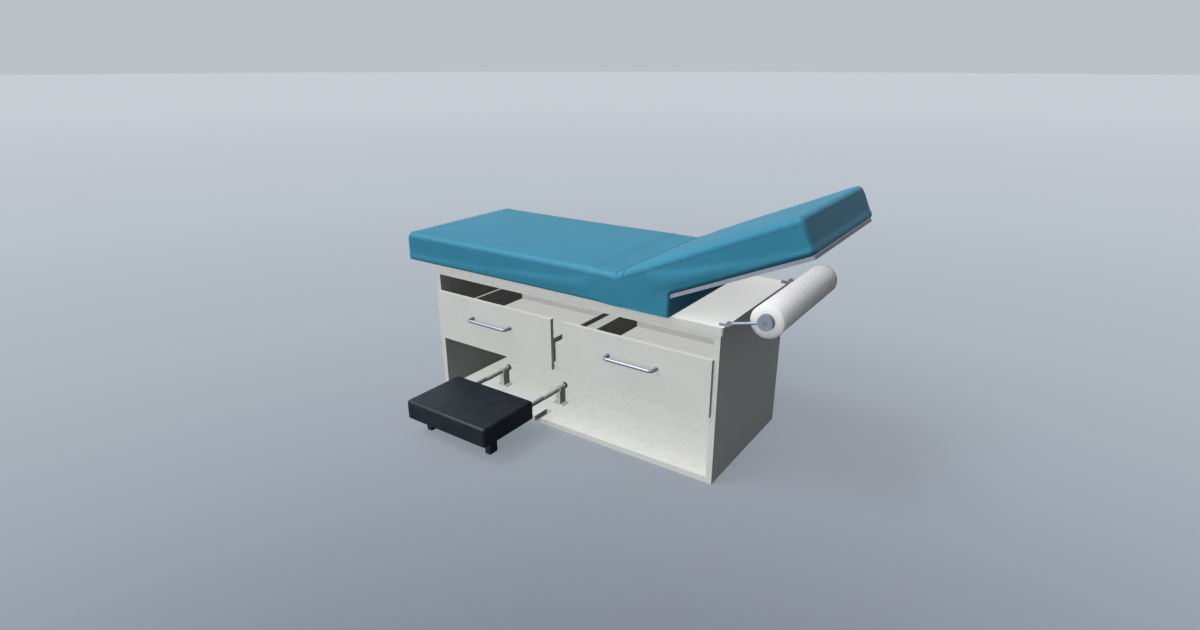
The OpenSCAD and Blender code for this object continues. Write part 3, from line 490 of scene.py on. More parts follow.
seat_low, seat_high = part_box("seat_cushion")
fold = Vector(next(j for j in frame["joints"] if j["name"] == "back_hinge")["pos_m"])
BACK_ANGLE = radians(24)         # the back's slope at rest
BACK_LENGTH = 0.734              # from the hinge to its far end
BACK_HALF = 0.0635               # half its thickness, and the radius of its round end
CUSHION_WIDTH = 0.712
EDGE_R = 0.020                   # corners, seen from above
TOP_R = 0.026                    # upper long edges
LOW_R = 0.012                    # the seat's lower edges
BACK_LOW_R = 0.019               # the back's lower edges
FOLD_R = 0.0004                  # an edge kept square where the next piece continues it
CROWN = 0.006                    # swell of the top between its edges
CAD_CROWN = 0.008                # the CAD seat's own swell, which its box includes
LIFT = 0.009                     # the covers' upper edges above the CAD's
DRAW_IN = 0.004                  # how far the sides pull in half way along
SWELL_CAP = 0.0030               # how far the cloth simulation may move a point
CORNER_INSET = 0.0045            # where the upright corner seams start from, inside the corner
RIDGE_R, RIDGE_SIDES = 0.0011, 8
BACK_PLACE = Matrix.Translation(fold) @ Matrix.Rotation(-BACK_ANGLE, 4, "Y")


# Cushions

def edge_drop(x, r):
    """How far a rounded edge of radius r has fallen at a distance x from the side."""
    return 0.0 if x >= r else r - sqrt(max(0.0, r * r - (r - x) ** 2))


def eased(x, low, high):
    """0 below low, 1 above high, smooth between."""
    t = min(1.0, max(0.0, (x - low) / (high - low)))
    return t * t * (3 - 2 * t)


def changing(start, end, low, high):
    """A size along a pad that is start up to low, end from high on, and smooth between."""
    return lambda x: start + (end - start) * eased(x, low, high)


class Cushion:
    """One pad, in its own frame: x along it from 0, y across, z up from its underside.
    Its edges' radii along the long sides may change on the way."""

    STEPS, ACROSS, DOWN = 6, 56, 9    # points round an edge, over the top and down a side
    END_RINGS = 9                     # sections round each end
    LEAST_SIDE = 0.0002               # what two edges leave of a side where they nearly meet

    def __init__(self, length, height, r_foot, r_head, plan, top_r, low_r, crown_end=None, rise=None):
        self.length, self.height = length, height
        self.r_foot, self.r_head, self.plan = r_foot, r_head, plan
        self.top_r, self.low_r = top_r, low_r
        self.crown_end = crown_end or length - r_head
        self.rise = rise or (lambda x: 0.0)

    def half(self, x):
        """Half the pad's width at x, drawn in along the middle."""
        u = 2 * x / self.length - 1
        return (CUSHION_WIDTH / 2 - edge_drop(x, self.plan[0]) - edge_drop(self.length - x, self.plan[1])
                - DRAW_IN * (1 - u * u))

    def ring(self, x):
        """The section at x, from the right side over the top and back along the underside."""
        steps, across, down = self.STEPS, self.ACROSS, self.DOWN
        foot, head = edge_drop(x, self.r_foot), edge_drop(self.length - x, self.r_head)
        top = self.height - foot - head + self.rise(x)
        round_end = self.height / 3    # an end rounder than this also lifts the underside all the way
        bottom = foot * (1 if self.r_foot > round_end else 0.5)
        bottom += head * (1 if self.r_head > round_end else 0.5)
        half = self.half(x)
        most = (top - bottom) / 2 - self.LEAST_SIDE
        r_top, r_low = min(self.top_r(x), most), min(self.low_r(x), most)
        v = max(-1.0, min(1.0, 2 * (x - self.r_foot) / (self.crown_end - self.r_foot) - 1))
        swell = CROWN * (1 - v ** 4) ** 2
        points = []

        def arc(cy, cz, r, start):
            for i in range(steps + 1):
                a = radians(start + 90 * i / steps)
                points.append(Vector((x, cy + r * cos(a), cz + r * sin(a))))

        def line(y0, z0, y1, z1, count, rise=0.0):
            for i in range(1, count):
                t = i / count
                z = z0 + (z1 - z0) * t + rise * (1 - (2 * t - 1) ** 2)
                points.append(Vector((x, y0 + (y1 - y0) * t, z)))

        arc(half - r_top, top - r_top, r_top, 0)
        line(half - r_top, top, -half + r_top, top, across, swell)
        arc(-half + r_top, top - r_top, r_top, 90)
        line(-half, top - r_top, -half, bottom + r_low, down)
        arc(-half + r_low, bottom + r_low, r_low, 180)
        line(-half + r_low, bottom, half - r_low, bottom, across)
        arc(half - r_low, bottom + r_low, r_low, 270)
        line(half, bottom + r_low, half, top - r_top, down)
        return points

    def mesh(self, name, stations):
        """The whole pad, with its two ends closed by a grid."""
        n, steps, across, down = self.END_RINGS, self.STEPS, self.ACROSS, self.DOWN
        foot, head = self.r_foot, self.length - self.r_head
        xs = [foot * (1 - cos(a)) for a in quarter(n)]
        xs += [foot + (head - foot) * i / stations for i in range(1, stations)]
        xs += [self.length - self.r_head * (1 - cos(a)) for a in quarter(n)[::-1]]
        rings = [self.ring(x) for x in xs]
        count = len(rings[0])
        points = [p for ring in rings for p in ring]
        faces = bands(len(rings), count)
        columns = 2 * (steps + 1) + across - 1
        for first, flip in ((0, True), ((len(rings) - 1) * count, False)):
            grid = []
            for c in range(columns):
                top, low = first + c, first + columns + down - 1 + columns - 1 - c
                column = [top]
                for k in range(1, down):
                    if c == 0:
                        column.append(first + count - k)
                    elif c == columns - 1:
                        column.append(first + columns + k - 1)
                    else:
                        points.append(points[top].lerp(points[low], k / down))
                        column.append(len(points) - 1)
                grid.append(column + [low])
            for one, two in zip(grid, grid[1:]):
                for k in range(down):
                    face = (one[k], two[k], two[k + 1], one[k + 1])
                    faces.append(face[::-1] if flip else face)
        return mesh_from(name, points, faces)


def inflate(obj, held):
    """Fills the pad by cloth simulation under pressure; no point moves further than SWELL_CAP.
    held(co) is how firmly the cloth is held at a point, from 0 to 1."""
    rest = [v.co.copy() for v in obj.data.vertices]
    group = obj.vertex_groups.new(name="pin")
    for i, co in enumerate(rest):
        firm = held(co)
        if firm > 0:
            group.add([i], firm, "REPLACE")
    cloth = obj.modifiers.new("cloth", "CLOTH")
    settings = cloth.settings
    settings.quality = 5
    settings.mass = 0.4
    settings.tension_stiffness = settings.compression_stiffness = 25
    settings.shear_stiffness = 12
    settings.bending_stiffness = 3
    settings.use_pressure = True
    settings.uniform_pressure_force = 4
    settings.vertex_group_mass = "pin"
    settings.effector_weights.gravity = 0
    cloth.collision_settings.use_collision = False
    first, last = 1, 20
    cloth.point_cache.frame_start, cloth.point_cache.frame_end = first, last
    for number in range(first, last + 1):
        scene.frame_set(number)
    apply_modifiers(obj)
    for v, co in zip(obj.data.vertices, rest):
        move = (v.co - co) * (1 - held(co))
        v.co = co + (move if move.length <= SWELL_CAP else move * (SWELL_CAP / move.length))
    scene.frame_set(first)
    obj.vertex_groups.clear()
    return obj


def subdivided(obj):
    """The same piece with each face in four, smoothed."""
    finer = obj.modifiers.new("finer", "SUBSURF")
    finer.levels = finer.render_levels = 1
    return apply_modifiers(obj)


def puckers(obj, seams):
    """Small pulls in the cover beside the seams, deepest at the seam, and a groove along each seam."""
    depth, reach, groove, groove_reach, waves = 0.0009, 0.035, 0.0012, 0.006, 130
    points = [p for path in seams for p in resampled(path, 0.003)]
    tree = KDTree(len(points))
    for k, p in enumerate(points):
        tree.insert(p, k)
    tree.balance()
    moved = []
    for v in obj.data.vertices:
        _, _, distance = tree.find(v.co)
        if distance > reach:
            continue
        fade = (1 - distance / reach) ** 2
        along = v.co.x * waves + v.co.y * waves
        wave = sin(along + 1.7 * sin(along * 0.37)) * 0.5 + 0.5
        moved.append((v, v.normal * (depth * fade * wave + groove * max(0.0, 1 - distance / groove_reach))))
    for v, by in moved:
        v.co -= by


def on_surface(obj, path, lift):
    """A path laid on a piece's surface, lifted along its normals."""
    mesh = obj.data
    tree = BVHTree.FromPolygons([v.co for v in mesh.vertices], [tuple(p.vertices) for p in mesh.polygons])
    laid = []
    for p in path:
        near, normal, _, _ = tree.find_nearest(p)
        laid.append((near + normal * lift, normal))
    return laid


def resampled(path, step):
    """The same path with points a fixed distance apart."""
    lengths = [(b - a).length for a, b in zip(path, path[1:])]
    count = max(2, round(sum(lengths) / step))
    spacing, made, done, i = sum(lengths) / count, [path[0].copy()], 0.0, 0
    for k in range(1, count):
        while done + lengths[i] < k * spacing:
            done += lengths[i]
            i += 1
        made.append(path[i].lerp(path[i + 1], (k * spacing - done) / lengths[i]))
    return made + [path[-1].copy()]


def ridge(pad, path):
    """A fine sewn ridge along a path on the pad."""
    return tube_mesh("ridge", [p for p, _ in on_surface(pad, path, 0.0002)], RIDGE_R, RIDGE_SIDES)


def stitch_row(pad, path):
    """A row of stitches below the ridge along a path on the pad: each dips in at both ends."""
    pitch, below, thread_r, proud, shortest = 0.0052, 0.0055, 0.00045, 0.0003, 0.001
    points = resampled([p for p, _ in on_surface(pad, path, 0.0002)], pitch)
    rows = on_surface(pad, [p - Vector((0, 0, below)) for p in points], 0.0001)
    stitches = []
    for (a, up), (b, _) in zip(rows, rows[1:]):
        along = b - a
        if along.length < shortest:
            continue
        ends = [a + along * share + up * height
                for share, height in ((0.14, -proud), (0.3, proud), (0.7, proud), (0.86, -proud))]
        stitches.append(tube_mesh("stitch", ends, thread_r, 6))
    return stitches


def corner_seams(x, foot, height):
    """The paths of the seams that run up the two corners at one end of a pad."""
    y = CUSHION_WIDTH / 2 - CORNER_INSET
    return [[Vector((x, sign * y, foot + height * i / 12)) for i in range(13)] for sign in (-1, 1)]


def corner_round(centre_x, turn, z):
    """The path of a seam round a near corner, at the head end where turn is 1 and at the foot for -1."""
    inner = CUSHION_WIDTH / 2 - EDGE_R
    return [Vector((centre_x + turn * EDGE_R * sin(a), -inner - EDGE_R * cos(a), z))
            for a in quarter(8)]


def mirrored(near):
    """A path along the near side, and back along the far one."""
    return near + [Vector((p.x, -p.y, p.z)) for p in near[::-1]]


def sewn(name, pad, top_seam, upright, place, body, node):
    """Sews the seams onto a formed pad, puts all of it in its place and lets it stand for the CAD's pad."""
    puckers(pad, [top_seam] + upright)
    top_path = resampled(top_seam, 0.006)
    seam = wear(smooth(joined(name + "_seam", [ridge(pad, top_path)])), "welt")
    stitches = wear(smooth(joined(name + "_stitches", stitch_row(pad, top_path))), "thread")
    corners = joined(name + "_corner_seams", [ridge(pad, path) for path in upright])
    wear(smooth(corners), "welt")
    for obj in (pad, seam, stitches, corners):
        obj.data.transform(place)
        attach(obj, body)
    wear(smooth(pad, 40), "vinyl")
    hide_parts(node)


# Seat cushion: top panel sewn to a boxing strip; its head end is hollowed round the back's hinge

seat_corner = Vector((seat_low.x, 0, seat_low.z))
seat_length = seat_high.x - seat_low.x
seat_height = seat_high.z - seat_low.z - CAD_CROWN + LIFT
hinge = fold - seat_corner
HOLLOW_R = BACK_HALF + 0.0001                # the hollow round the back's end
HOLLOW_FROM, HOLLOW_TURN = 272, 112          # degrees: its start below the hinge, and its turn to the lip
LIP, LIP_R = hinge.x - 0.060, 0.006          # the top's end, where the hollow comes through
BEYOND, ABOVE = 0.1, 0.03                    # how far the cutter reaches past the pad
BOARD_GAP = Vector((0.0006,) * 3)            # round the board that the pad lies over


def hollow_outline():
    """Round the hinge from below up to the lip, over the lip, and back round outside the pad."""
    outline = []
    for i in range(49):
        a = radians(HOLLOW_FROM - HOLLOW_TURN * i / 48)
        outline.append((hinge.x + HOLLOW_R * cos(a), hinge.z + HOLLOW_R * sin(a)))
    for a in quarter(8):
        outline.append((LIP - LIP_R + LIP_R * cos(a), seat_height - LIP_R + LIP_R * sin(a)))
    return outline + [(LIP - LIP_R, seat_height + ABOVE), (hinge.x + BEYOND, seat_height + ABOVE),
                      (hinge.x + BEYOND, outline[0][1])]


def seat_seam(z):
    """Along one side from the lip, round the foot end and back along the other side."""
    start = LIP - 0.001
    near = []
    for i in range(40):
        y = -seat_pad.half(LIP - (LIP - EDGE_R) * i / 40)
        near.append(Vector((start - (start - EDGE_R) * i / 40, y, z)))
    return mirrored(near + corner_round(EDGE_R, -1, z))


# The lower edges get square towards the fold, where the skirt goes on
seat_pad = Cushion(seat_length, seat_height, EDGE_R, 0.002, (EDGE_R, 0.0005), lambda x: TOP_R,
                   changing(LOW_R, FOLD_R, seat_length - 0.12, seat_length - 0.03), LIP - 0.012)
seat = new_object("seat_cushion_cover", seat_pad.mesh("seat", 112))
# The foot is held on the deck, and the head end against the back
inflate(seat, lambda co: max(1 - eased(co.z, 0.016, 0.034), eased(co.x, LIP - 0.16, LIP - 0.03)))
subdivided(seat)
boolean(seat, prism("hollow", hollow_outline(), 0.4), "DIFFERENCE")
board_low, board_high = (corner - seat_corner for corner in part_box("seat_board"))
room_low, room_high = board_low - BOARD_GAP, board_high + BOARD_GAP
boolean(seat, block_object("board_room", (room_low.x, room_low.y, -0.01), room_high), "DIFFERENCE")
sewn("seat_cushion", seat, seat_seam(seat_height - TOP_R - 0.003),
     corner_seams(CORNER_INSET, LOW_R + 0.006, seat_height - TOP_R - LOW_R - 0.010),
     Matrix.Translation(seat_corner), "cabinet", "seat_cushion")


# Back cushion: its lower end is a half round about the hinge

SKIRT_END = BACK_HALF + 0.170                # up to here the skirt stands under the back
PLATE_POCKET = (0.012, 0.060)                # the hinge pockets' sides, in from the plates' outer faces


def hinge_pockets():
    """Room for the hinge plates and the ratchets, on both sides."""
    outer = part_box("hinge_fixed_plates")[1].y
    boxes = []
    for sign in (-1, 1):
        y0, y1 = sorted(sign * (outer - inset) for inset in PLATE_POCKET)
        boxes.append(((-0.010, y0, -0.02), (BACK_HALF + 0.030, y1, BACK_HALF + 0.032)))
        boxes.append(((BACK_HALF + 0.028, y0, -0.02), (BACK_HALF + 0.156, y1, BACK_HALF - 0.008)))
    return boxes


def back_seam(z):
    """From the fold along one side, round the head end and back along the other side."""
    start, turn = Vector((BACK_HALF - 0.0425, 0, z + 0.0050)), Vector((BACK_HALF - 0.0313, 0, z))
    end = back_pad.length - EDGE_R
    near = [start.lerp(turn, i / 6) for i in range(6)]
    near += [turn.lerp(Vector((end, 0, z)), i / 40) for i in range(41)]
    near = [Vector((p.x, -back_pad.half(p.x), p.z)) for p in near]
    return mirrored(near + corner_round(end, 1, z)[1:])


# The edges start square at the fold and, below, where the skirt is. The top rises beyond the half round,
# which has to turn inside the seat's hollow
back_pad = Cushion(BACK_LENGTH + BACK_HALF, 2 * BACK_HALF - 0.0006, BACK_HALF - 0.001, EDGE_R,
                   (0.0005, EDGE_R), changing(FOLD_R, TOP_R, 0.015, 0.028),
                   changing(FOLD_R, BACK_LOW_R, SKIRT_END - 0.012, SKIRT_END + 0.008),
                   rise=changing(0, LIFT, BACK_HALF - 0.002, BACK_HALF + 0.012))
back = new_object("back_cushion_cover", back_pad.mesh("back", 76))
# The cover is held on the back's board and round its lower end
inflate(back, lambda co: 1 - min(eased(co.z, 0.014, 0.032), eased(co.x, BACK_HALF + 0.02, BACK_HALF + 0.15)))
subdivided(back)
for low, high in hinge_pockets():
    boolean(back, block_object("pocket", low, high), "DIFFERENCE")
back_seam_z = 2 * BACK_HALF + LIFT - TOP_R - 0.003
sewn("back_cushion", back, back_seam(back_seam_z),
     corner_seams(back_pad.length - CORNER_INSET, BACK_LOW_R + 0.004, back_seam_z - BACK_LOW_R - 0.007),
     BACK_PLACE @ Matrix.Translation((-BACK_HALF + 0.0002, 0, -BACK_HALF + 0.0003)), "back", "back_cushion")


# Fold gusset: a soft strip that fills the valley between the two cushions, built where they lie at rest

def gusset_lanes(half):
    """Across the gusset: places and the drop there, round at both edges like the pads."""
    round_edge = [(half - TOP_R + TOP_R * sin(a), TOP_R * (1 - cos(a))) for a in quarter(8)]
    flat_part = [(half - TOP_R - 2 * (half - TOP_R) * i / 40, 0.0) for i in range(39, 0, -1)]
    return [(-y, drop) for y, drop in round_edge[::-1]] + flat_part + round_edge


def gusset_mesh():
    """Its top runs from the seat to the back's top, with a sewn crease where they meet."""
    flat = seat_low.z + seat_height - fold.z
    slope = tan(BACK_ANGLE)
    tangent = Vector((-sin(BACK_ANGLE), cos(BACK_ANGLE))) * (BACK_HALF + LIFT)
    crease = tangent.x + (flat - tangent.y) / slope
    crease_depth, crease_width, sunk, end_sunk, least = 0.0026, 0.0028, 0.0002, 0.0012, 0.0010
    lip_x, under_lip, turning_r = -0.0560, 0.029, 0.0626
    start, reach = -0.070, 0.052
    xs = [start + reach * i / 40 for i in range(41)]
    lanes = gusset_lanes(CUSHION_WIDTH / 2 - 0.0006)
    points, count = [], len(xs)
    for y, drop in lanes:
        upper, lower = [], []
        for x in xs:
            top = max(flat, tangent.y + (x - tangent.x) * slope)
            top -= crease_depth * exp(-((x - crease) / crease_width) ** 2) + sunk
            top -= end_sunk * max(eased(-x, 0.064, 0.070), eased(x, -0.024, -0.018))
            low = under_lip if x < lip_x else sqrt(turning_r ** 2 - x * x)
            low = min(low, top - least)
            upper.append(Vector((fold.x + x, y, fold.z + top - drop)))
            lower.append(Vector((fold.x + x, y, fold.z + low - drop)))
        points += upper + lower[::-1]
    ring = 2 * count
    faces = bands(len(lanes), ring, flip=True)
    for first, flip in ((0, False), ((len(lanes) - 1) * ring, True)):
        for j in range(count - 1):
            face = (first + j, first + j + 1, first + ring - 2 - j, first + ring - 1 - j)
            faces.append(face[::-1] if flip else face)
    return mesh_from("gusset", points, faces)


gusset = turned_outward(new_object("fold_gusset", gusset_mesh()))
wear(smooth(gusset, 60), "vinyl")
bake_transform(gusset)


# Fold skirt: a vinyl wall that closes the wedge under the back, built where it stands at rest

skirt_low, skirt_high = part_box("fold_skirt")
board_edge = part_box("back_board")[1].y
BACK_GAP = 0.0009                # between the skirt's upper edge and the back
BOARD_DROP = 0.013               # the skirt passes below the back's board, which is this thick
SKIRT_WALL = 0.0042
SKIRT_X, SKIRT_Y = skirt_high.x - 0.0005, skirt_high.y - 0.0003    # its outer corner
SKIRT_R = 0.012                  # its corners, seen from above
TUCK, TUCK_IN = 0.0065, 0.0012   # vinyl hidden beside the back's end, which closes the raised fan
PLEAT = 0.0006


def skirt_top(x, low):
    """Height of the skirt's upper edge at x: under the round end, then under the sloping back."""
    r = BACK_HALF + BACK_GAP
    dx = x - fold.x
    if dx >= sin(BACK_ANGLE) * (low + BACK_GAP):
        return fold.z + (dx * sin(BACK_ANGLE) - (low + BACK_GAP)) / cos(BACK_ANGLE)
    if abs(dx) >= r:
        return fold.z
    return fold.z - sqrt(max(0.0, max(r, low + BACK_GAP if dx > 0 else r) ** 2 - dx * dx))


def skirt_path():
    """Seen from above: along the near side, round the corner, across the end and back on the far side."""
    start = seat_high.x + 0.0002
    side = [(start + (SKIRT_X - SKIRT_R - start) * i / 29, -SKIRT_Y) for i in range(30)]
    side += [(SKIRT_X - SKIRT_R + SKIRT_R * sin(a), SKIRT_R - SKIRT_Y - SKIRT_R * cos(a))
             for a in quarter(8)[1:8]]
    side += [(SKIRT_X - 0.0001, -board_edge - 0.0001), (SKIRT_X, -board_edge + 0.0006)]
    end = [(SKIRT_X, (-1 + i / 20) * (board_edge - 0.0006)) for i in range(1, 40)]
    return side + end + [(x, -y) for x, y in side[::-1]]


def skirt_mesh():
    """The wall as one sheet, drawn in towards the back's side and pleated a little half way up."""
    rows, points, path = 20, [], skirt_path()
    low = skirt_low.z + 0.0003
    for x, y in path:
        dx = x - fold.x
        under_board = dx > 0.05 and abs(y) < board_edge
        along = BACK_HALF + max(0.0, dx - BACK_HALF * sin(BACK_ANGLE)) / cos(BACK_ANGLE)
        rounding = edge_drop(max(0.0, back_pad.half(along) - abs(y)), back_pad.low_r(along))
        top = seen = skirt_top(x, BACK_HALF + (BOARD_DROP if under_board else -rounding))
        if abs(y) > board_edge:
            top += TUCK * eased(dx, 0.032, 0.044) * (1 - eased(dx, 0.060, 0.072))
        pull = SKIRT_Y - back_pad.half(BACK_HALF + max(0.0, dx) / cos(BACK_ANGLE)) + 0.0003
        inward = Vector((0, 0, 0))
        if abs(y) < SKIRT_Y - SKIRT_R:
            inward.x = -1
        elif x < SKIRT_X - SKIRT_R:
            inward.y = -1 if y > 0 else 1
        for k in range(rows + 1):
            t = k / rows
            z = low + (top - low) * t
            tucked = TUCK_IN * min(1.0, max(0.0, (z - seen) / 0.0015))
            drawn = Vector((0, -(pull * t + tucked) * y / SKIRT_Y, 0))
            points.append(Vector((x, y, z)) + inward * (PLEAT * sin(pi * t)) + drawn)
    return mesh_from("skirt", points, bands(len(path), rows + 1, closed=False, flip=True))


skirt = new_object("fold_skirt_cover", skirt_mesh())
thick = skirt.modifiers.new("thick", "SOLIDIFY")
thick.thickness = SKIRT_WALL
thick.offset = -1
eased_edges(skirt, 0.0007, 3, 50)
wear(smooth(skirt, 60), "vinyl")
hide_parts("fold_skirt")
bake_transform(skirt)


# Cabinet boards and drawers

for node in ("foot_end_panel", "head_end_panel", "floor_panel", "top_panel", "back_panel", "deck",
             "front_rail", "centre_beam"):
    is_deck = node == "deck"
    # the deck wears the lighter laminate copy, which is painted light
    banded(softened(node, 0.0015 if is_deck else 0.0009), "deck" if is_deck else "laminate", "band")
for side in ("left", "right"):
    banded(softened(side + "_drawer_front", 0.0014, segments=3), "front", "band")
    for part in ("outer_side", "inner_side", "back", "bottom"):
        banded(softened(side + "_drawer_" + part, 0.0006), "inner", "band")


def handle(side):
    """Bar handle: a bent round bar with a small collar at each foot."""
    low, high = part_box(side + "_drawer_handle")
    r = (high.z - low.z) / 2
    x0, x1 = low.x + r, high.x - r
    face, bar = high.y, low.y + r
    bend = 0.018
    z = (low.z + high.z) / 2
    left = [Vector((x0, face, z)), Vector((x0, (face + bar + bend) / 2, z))]
    left += [Vector((x0 + bend - bend * cos(a), bar + bend - bend * sin(a), z)) for a in quarter(12)]
    straight = [Vector((x0 + bend + (x1 - x0 - 2 * bend) * i / 6, bar, z)) for i in range(1, 6)]
    path = left + straight + [Vector((x0 + x1 - p.x, p.y, z)) for p in left[::-1]]
    bar_obj = joined(side + "_drawer_handle_bar", [tube_mesh("bar", path, r, 32)])
    wear(smooth(bar_obj, 50), "steel")
    rim = [(0, 0.0016), (0.0012, 0.0018), (0.0028, 0.0012), (0.0034, -0.0005)]
    radii = [r + more for _, more in rim]
    collars = [tube_mesh("collar", [Vector((x, face - out, z)) for out, _ in rim], radii, 48)
               for x in (x0, x1)]
    collar = wear(smooth(joined(side + "_drawer_handle_collars", collars), 40), "zinc")
    for obj in (bar_obj, collar):
        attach(obj, side + "_drawer")
    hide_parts(side + "_drawer_handle")


handle("left")
handle("right")


# Step: a hollow moulded tread with ribs, open below, and slots for its legs

TREAD_WALL, RIB_HALF, RIB_PLACE = 0.005, 0.002, 0.06
LEG_SLOT_HALF = 0.019

tread_low, tread_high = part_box("step_tread")
tube_z = middle("step_tubes").z
tread = eased_edges(block_object("step_tread_shell", tread_low - Vector((0, 0, 0.03)), tread_high), 0.012, 8)
boolean(tread, block_object("below", tread_low - Vector((0.1, 0.1, 0.1)),
                            (tread_high.x + 0.1, tread_high.y + 0.1, tread_low.z)), "DIFFERENCE")
inside = block_object("inside", (tread_low.x + TREAD_WALL, tread_low.y + TREAD_WALL, tread_low.z - 0.05),
                      tread_high - Vector((TREAD_WALL,) * 3))
boolean(tread, eased_edges(inside, 0.006, 4), "DIFFERENCE")
for leg in ("step_left_leg", "step_right_leg"):
    x = middle(leg).x
    slot_low = (x - LEG_SLOT_HALF, tread_high.y - 0.015, tread_low.z - 0.02)
    slot_high = (x + LEG_SLOT_HALF, tread_high.y + 0.01, tube_z + LEG_SLOT_HALF)
    boolean(tread, block_object("slot", slot_low, slot_high), "DIFFERENCE")
mid_x = (tread_low.x + tread_high.x) / 2
for x in (mid_x - RIB_PLACE, mid_x + RIB_PLACE):
    boolean(tread, block_object("rib", (x - RIB_HALF, tread_low.y + 0.004, tread_low.z + 0.010),
                                (x + RIB_HALF, tread_high.y - 0.004, tread_high.z - 0.004)), "UNION")
wear(smooth(tread, 35), "tread")
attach(tread, "step")
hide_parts("step_tread")
for node in ("step_left_leg", "step_right_leg", "step_frame_plate"):
    wear(softened(node, 0.0005), "dark")
wear(softened("step_feet", 0.0012, segments=3), "rubber")


# Paper roll: wound paper with the loose edge of its last turn

roll_low, roll_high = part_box("paper_roll")
roll_centre = middle("paper_roll")
roll_radius = (roll_high.z - roll_low.z) / 2
core_low, core_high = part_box("roll_core")
core_radius = (core_high.z - core_low.z) / 2


def roll_mesh():
    """The side drops by one thick layer at the loose edge, so the winding shows."""
    sides, layer, soft, edge_at = 160, 0.0005, 0.0012, 0.9
    half = (roll_high.y - roll_low.y) / 2
    angles = [2 * pi * j / sides - edge_at for j in range(sides + 1)]
    bm = bmesh.new()
    rings = []
    for y, inset in ((-half, soft), (-half + soft * 0.3, soft * 0.3), (-half + soft, 0), (half - soft, 0),
                     (half - soft * 0.3, soft * 0.3), (half, soft)):
        ring = []
        for j, a in enumerate(angles):
            r = roll_radius - inset - layer * j / sides
            ring.append(bm.verts.new(roll_centre + Vector((r * cos(a), y, r * sin(a)))))
        rings.append(ring)
    for a, b in zip(rings, rings[1:]):
        for j in range(sides):
            bm.faces.new((a[j], b[j], b[j + 1], a[j + 1]))
        bm.faces.new((a[sides], b[sides], b[0], a[0]))
    for ring, flip in ((rings[0], False), (rings[-1], True)):
        y = ring[0].co.y - roll_centre.y
        inner = [bm.verts.new(roll_centre + Vector((core_radius * cos(a), y, core_radius * sin(a))))
                 for a in angles]
        for j in range(sides):
            quad = (ring[j], ring[j + 1], inner[j + 1], inner[j])
            bm.faces.new(quad[::-1] if flip else quad).material_index = 1
        last = (ring[sides], ring[0], inner[0])
        bm.faces.new(last[::-1] if flip else last).material_index = 1
    bmesh.ops.recalc_face_normals(bm, faces=bm.faces)
    return bm


roll = from_bmesh("paper_roll_wound", roll_mesh())
smooth(roll, 35)
wear(roll, "paper", paper_ends("paper_roll_end", roll_centre))
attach(roll, "roll")
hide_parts("paper_roll")


# CAD nodes that stay as they are, with their materials

STAY = {
    "zinc": ["deck_screws", "left_drawer_channels", "right_drawer_channels", "left_drawer_rails",
             "right_drawer_rails", "left_handle_screws", "right_handle_screws", "guide_bracket_screws",
             "step_screws", "step_collars", "seat_bolts", "back_screws", "hinge_pins", "roll_bracket_screws",
             "roll_pivot_pins", "roll_spindle"],
    "coat": ["hinge_fixed_plates", "hinge_moving_plates", "ratchet_housings", "roll_brackets"],
    "tube": ["step_tubes", "roll_arms"],
    "timber": ["carcass_dowels", "seat_board"],
    "guide": ["step_guide_sleeves", "step_guide_brackets"],
    "kraft": ["roll_core"],
    "hub": ["roll_hubs"],
}
for name, nodes in STAY.items():
    for node in nodes:
        wear(frame["nodes"][node], name)
        smooth(frame["nodes"][node], 35)
banded(softened("back_board", 0.0015, angle=40), "board", "board")


# Floor, backdrop, light and camera

CAMERA_PLACE = Vector((1.6680, -2.4360, 1.5510))
CAMERA_TARGET = Vector((0.0224, -0.0500, 0.4739))
FOCAL_PIXELS, PHOTO_WIDTH = 683.58, 1200     # the fitted focal length and the photograph's width


def seen_rays(tree):
    """1 for rays from the camera, a mirror or glass, and 0 for the light that falls on the object."""
    path = tree.nodes.new("ShaderNodeLightPath").outputs
    seen = path["Is Camera Ray"]
    for ray in ("Is Glossy Ray", "Is Transmission Ray"):
        either = tree.nodes.new("ShaderNodeMath")
        either.operation = "MAXIMUM"
        seen = feed(tree, either, {0: seen, 1: path[ray]})[0]
    return seen


def floor_shades(n):
    """The floor's shades by the distance from the photograph's place, in metres."""
    stops = [(1.5, "7b828c"), (2.17, "8c939d"), (2.98, "99a0aa"), (4.47, "a4abb3"), (8.1, "aeb5bd"),
             (14, "b4bac1"), (28, "bcc1c7")]
    reach = 30
    grade = n.tree.nodes.new("ShaderNodeValToRGB")
    feed(n.tree, grade, {0: n.math("MULTIPLY", n.away(CAMERA_PLACE, "XY"), 1 / reach)})
    elements = grade.color_ramp.elements
    elements[0].position, elements[1].position = stops[0][0] / reach, stops[-1][0] / reach
    for distance, _ in stops[1:-1]:
        elements.new(distance / reach)
    for element, (_, colour) in zip(sorted(elements, key=lambda e: e.position), stops):
        element.color = linear(colour)
    return grade.outputs[0]


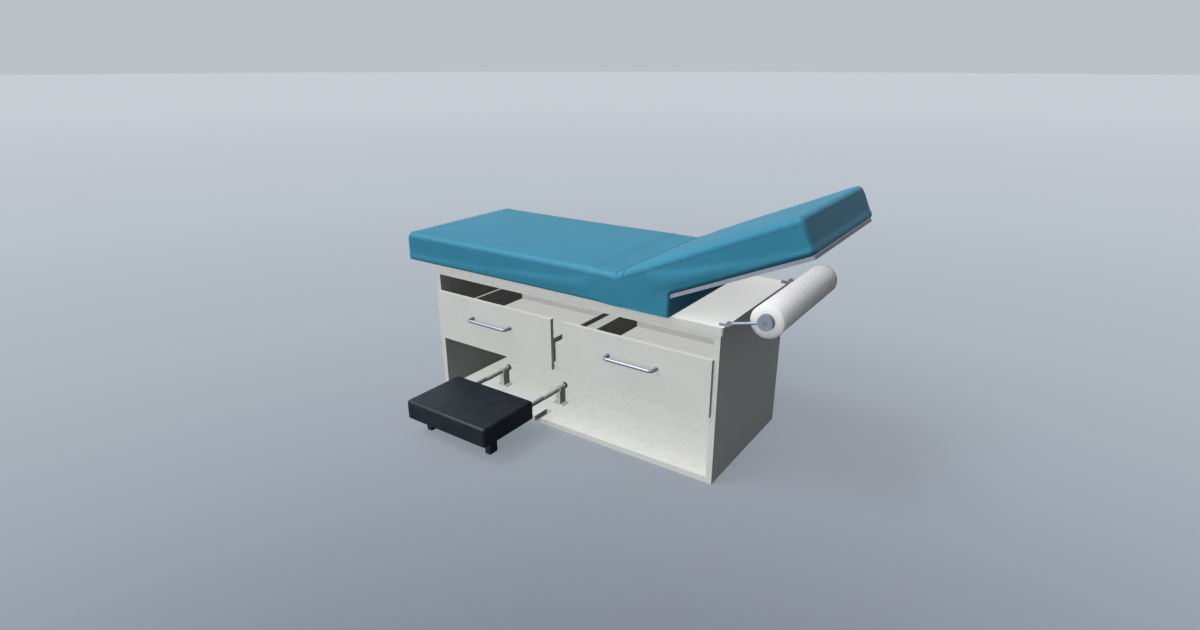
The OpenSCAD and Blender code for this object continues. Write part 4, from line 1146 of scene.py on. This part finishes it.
def backdrop():
    """A round floor that reaches to the horizon, greyer close to the photograph's place."""
    sides, below = 128, -0.0004
    radii = [0.5, 1, 2, 3, 4, 6, 9, 14, 22, 35, 60, 110]
    points = [Vector((0, 0, below))]
    points += [Vector((r * cos(a), r * sin(a), below)) for r in radii for a in turns(sides)]
    faces = [(0, 1 + j, 1 + (j + 1) % sides) for j in range(sides)]
    faces += [tuple(1 + k for k in face) for face in bands(len(radii), sides, flip=True)]
    obj = new_object("floor_backdrop", mesh_from("floor", points, faces))
    n = Nodes("floor_pale")
    mottled = n.mix(n.ramp(n.noise(0.8, 3), 0.35, 0.65, 0, 0.03), floor_shades(n), "9aa0a8")
    shown = n.mix(seen_rays(n.tree), "5f6266", mottled)
    n.finish(shown, 0.9, None, Specular_IOR_Level=0.0)
    obj.data.materials.append(n.material)
    return smooth(obj)


backdrop()

world = bpy.data.worlds.new("studio")
scene.world = world
world.use_nodes = True
tree = world.node_tree
light = feed(tree, tree.nodes["Background"], {"Color": (0.92, 0.96, 1.0, 1), "Strength": 0.19})
shown = feed(tree, tree.nodes.new("ShaderNodeBackground"), {"Color": "bcc1c7", "Strength": 1.0})
chosen = feed(tree, tree.nodes.new("ShaderNodeMixShader"), {0: seen_rays(tree), 1: light[0], 2: shown[0]})
feed(tree, tree.nodes["World Output"], {"Surface": chosen[0]})


def sun(name, towards, strength, spread, shadow=True):
    """A distant lamp; one without shadow lights the niche too, and its light isn't passed on."""
    light = bpy.data.lights.new(name, "SUN")
    light.use_shadow = shadow
    if not shadow:
        light.cycles.max_bounces = 0
    light.energy = strength
    light.angle = radians(spread)
    obj = bpy.data.objects.new(name, light)
    scene.collection.objects.link(obj)
    obj.rotation_mode = "QUATERNION"
    obj.rotation_quaternion = Vector(towards).to_track_quat("-Z", "Y")


KEY, FILL = (0.40, 0.33, -0.855), (0.15, 0.88, -0.45)    # where the two lights shine towards
sun("key_light", KEY, 0.50, 22)
sun("key_open", KEY, 2.36, 22, shadow=False)
sun("front_fill", FILL, 0.25, 60)
sun("front_open", FILL, 1.17, 60, shadow=False)

camera_data = bpy.data.cameras.new("camera")
camera = bpy.data.objects.new("camera", camera_data)
scene.collection.objects.link(camera)
camera_data.sensor_width = 36
camera_data.lens = FOCAL_PIXELS / PHOTO_WIDTH * 36
camera_data.clip_start, camera_data.clip_end = 0.05, 250
camera.location = CAMERA_PLACE
camera.rotation_mode = "QUATERNION"
camera.rotation_quaternion = (CAMERA_TARGET - CAMERA_PLACE).to_track_quat("-Z", "Y")
scene.camera = camera
scene.view_settings.view_transform = "Standard"
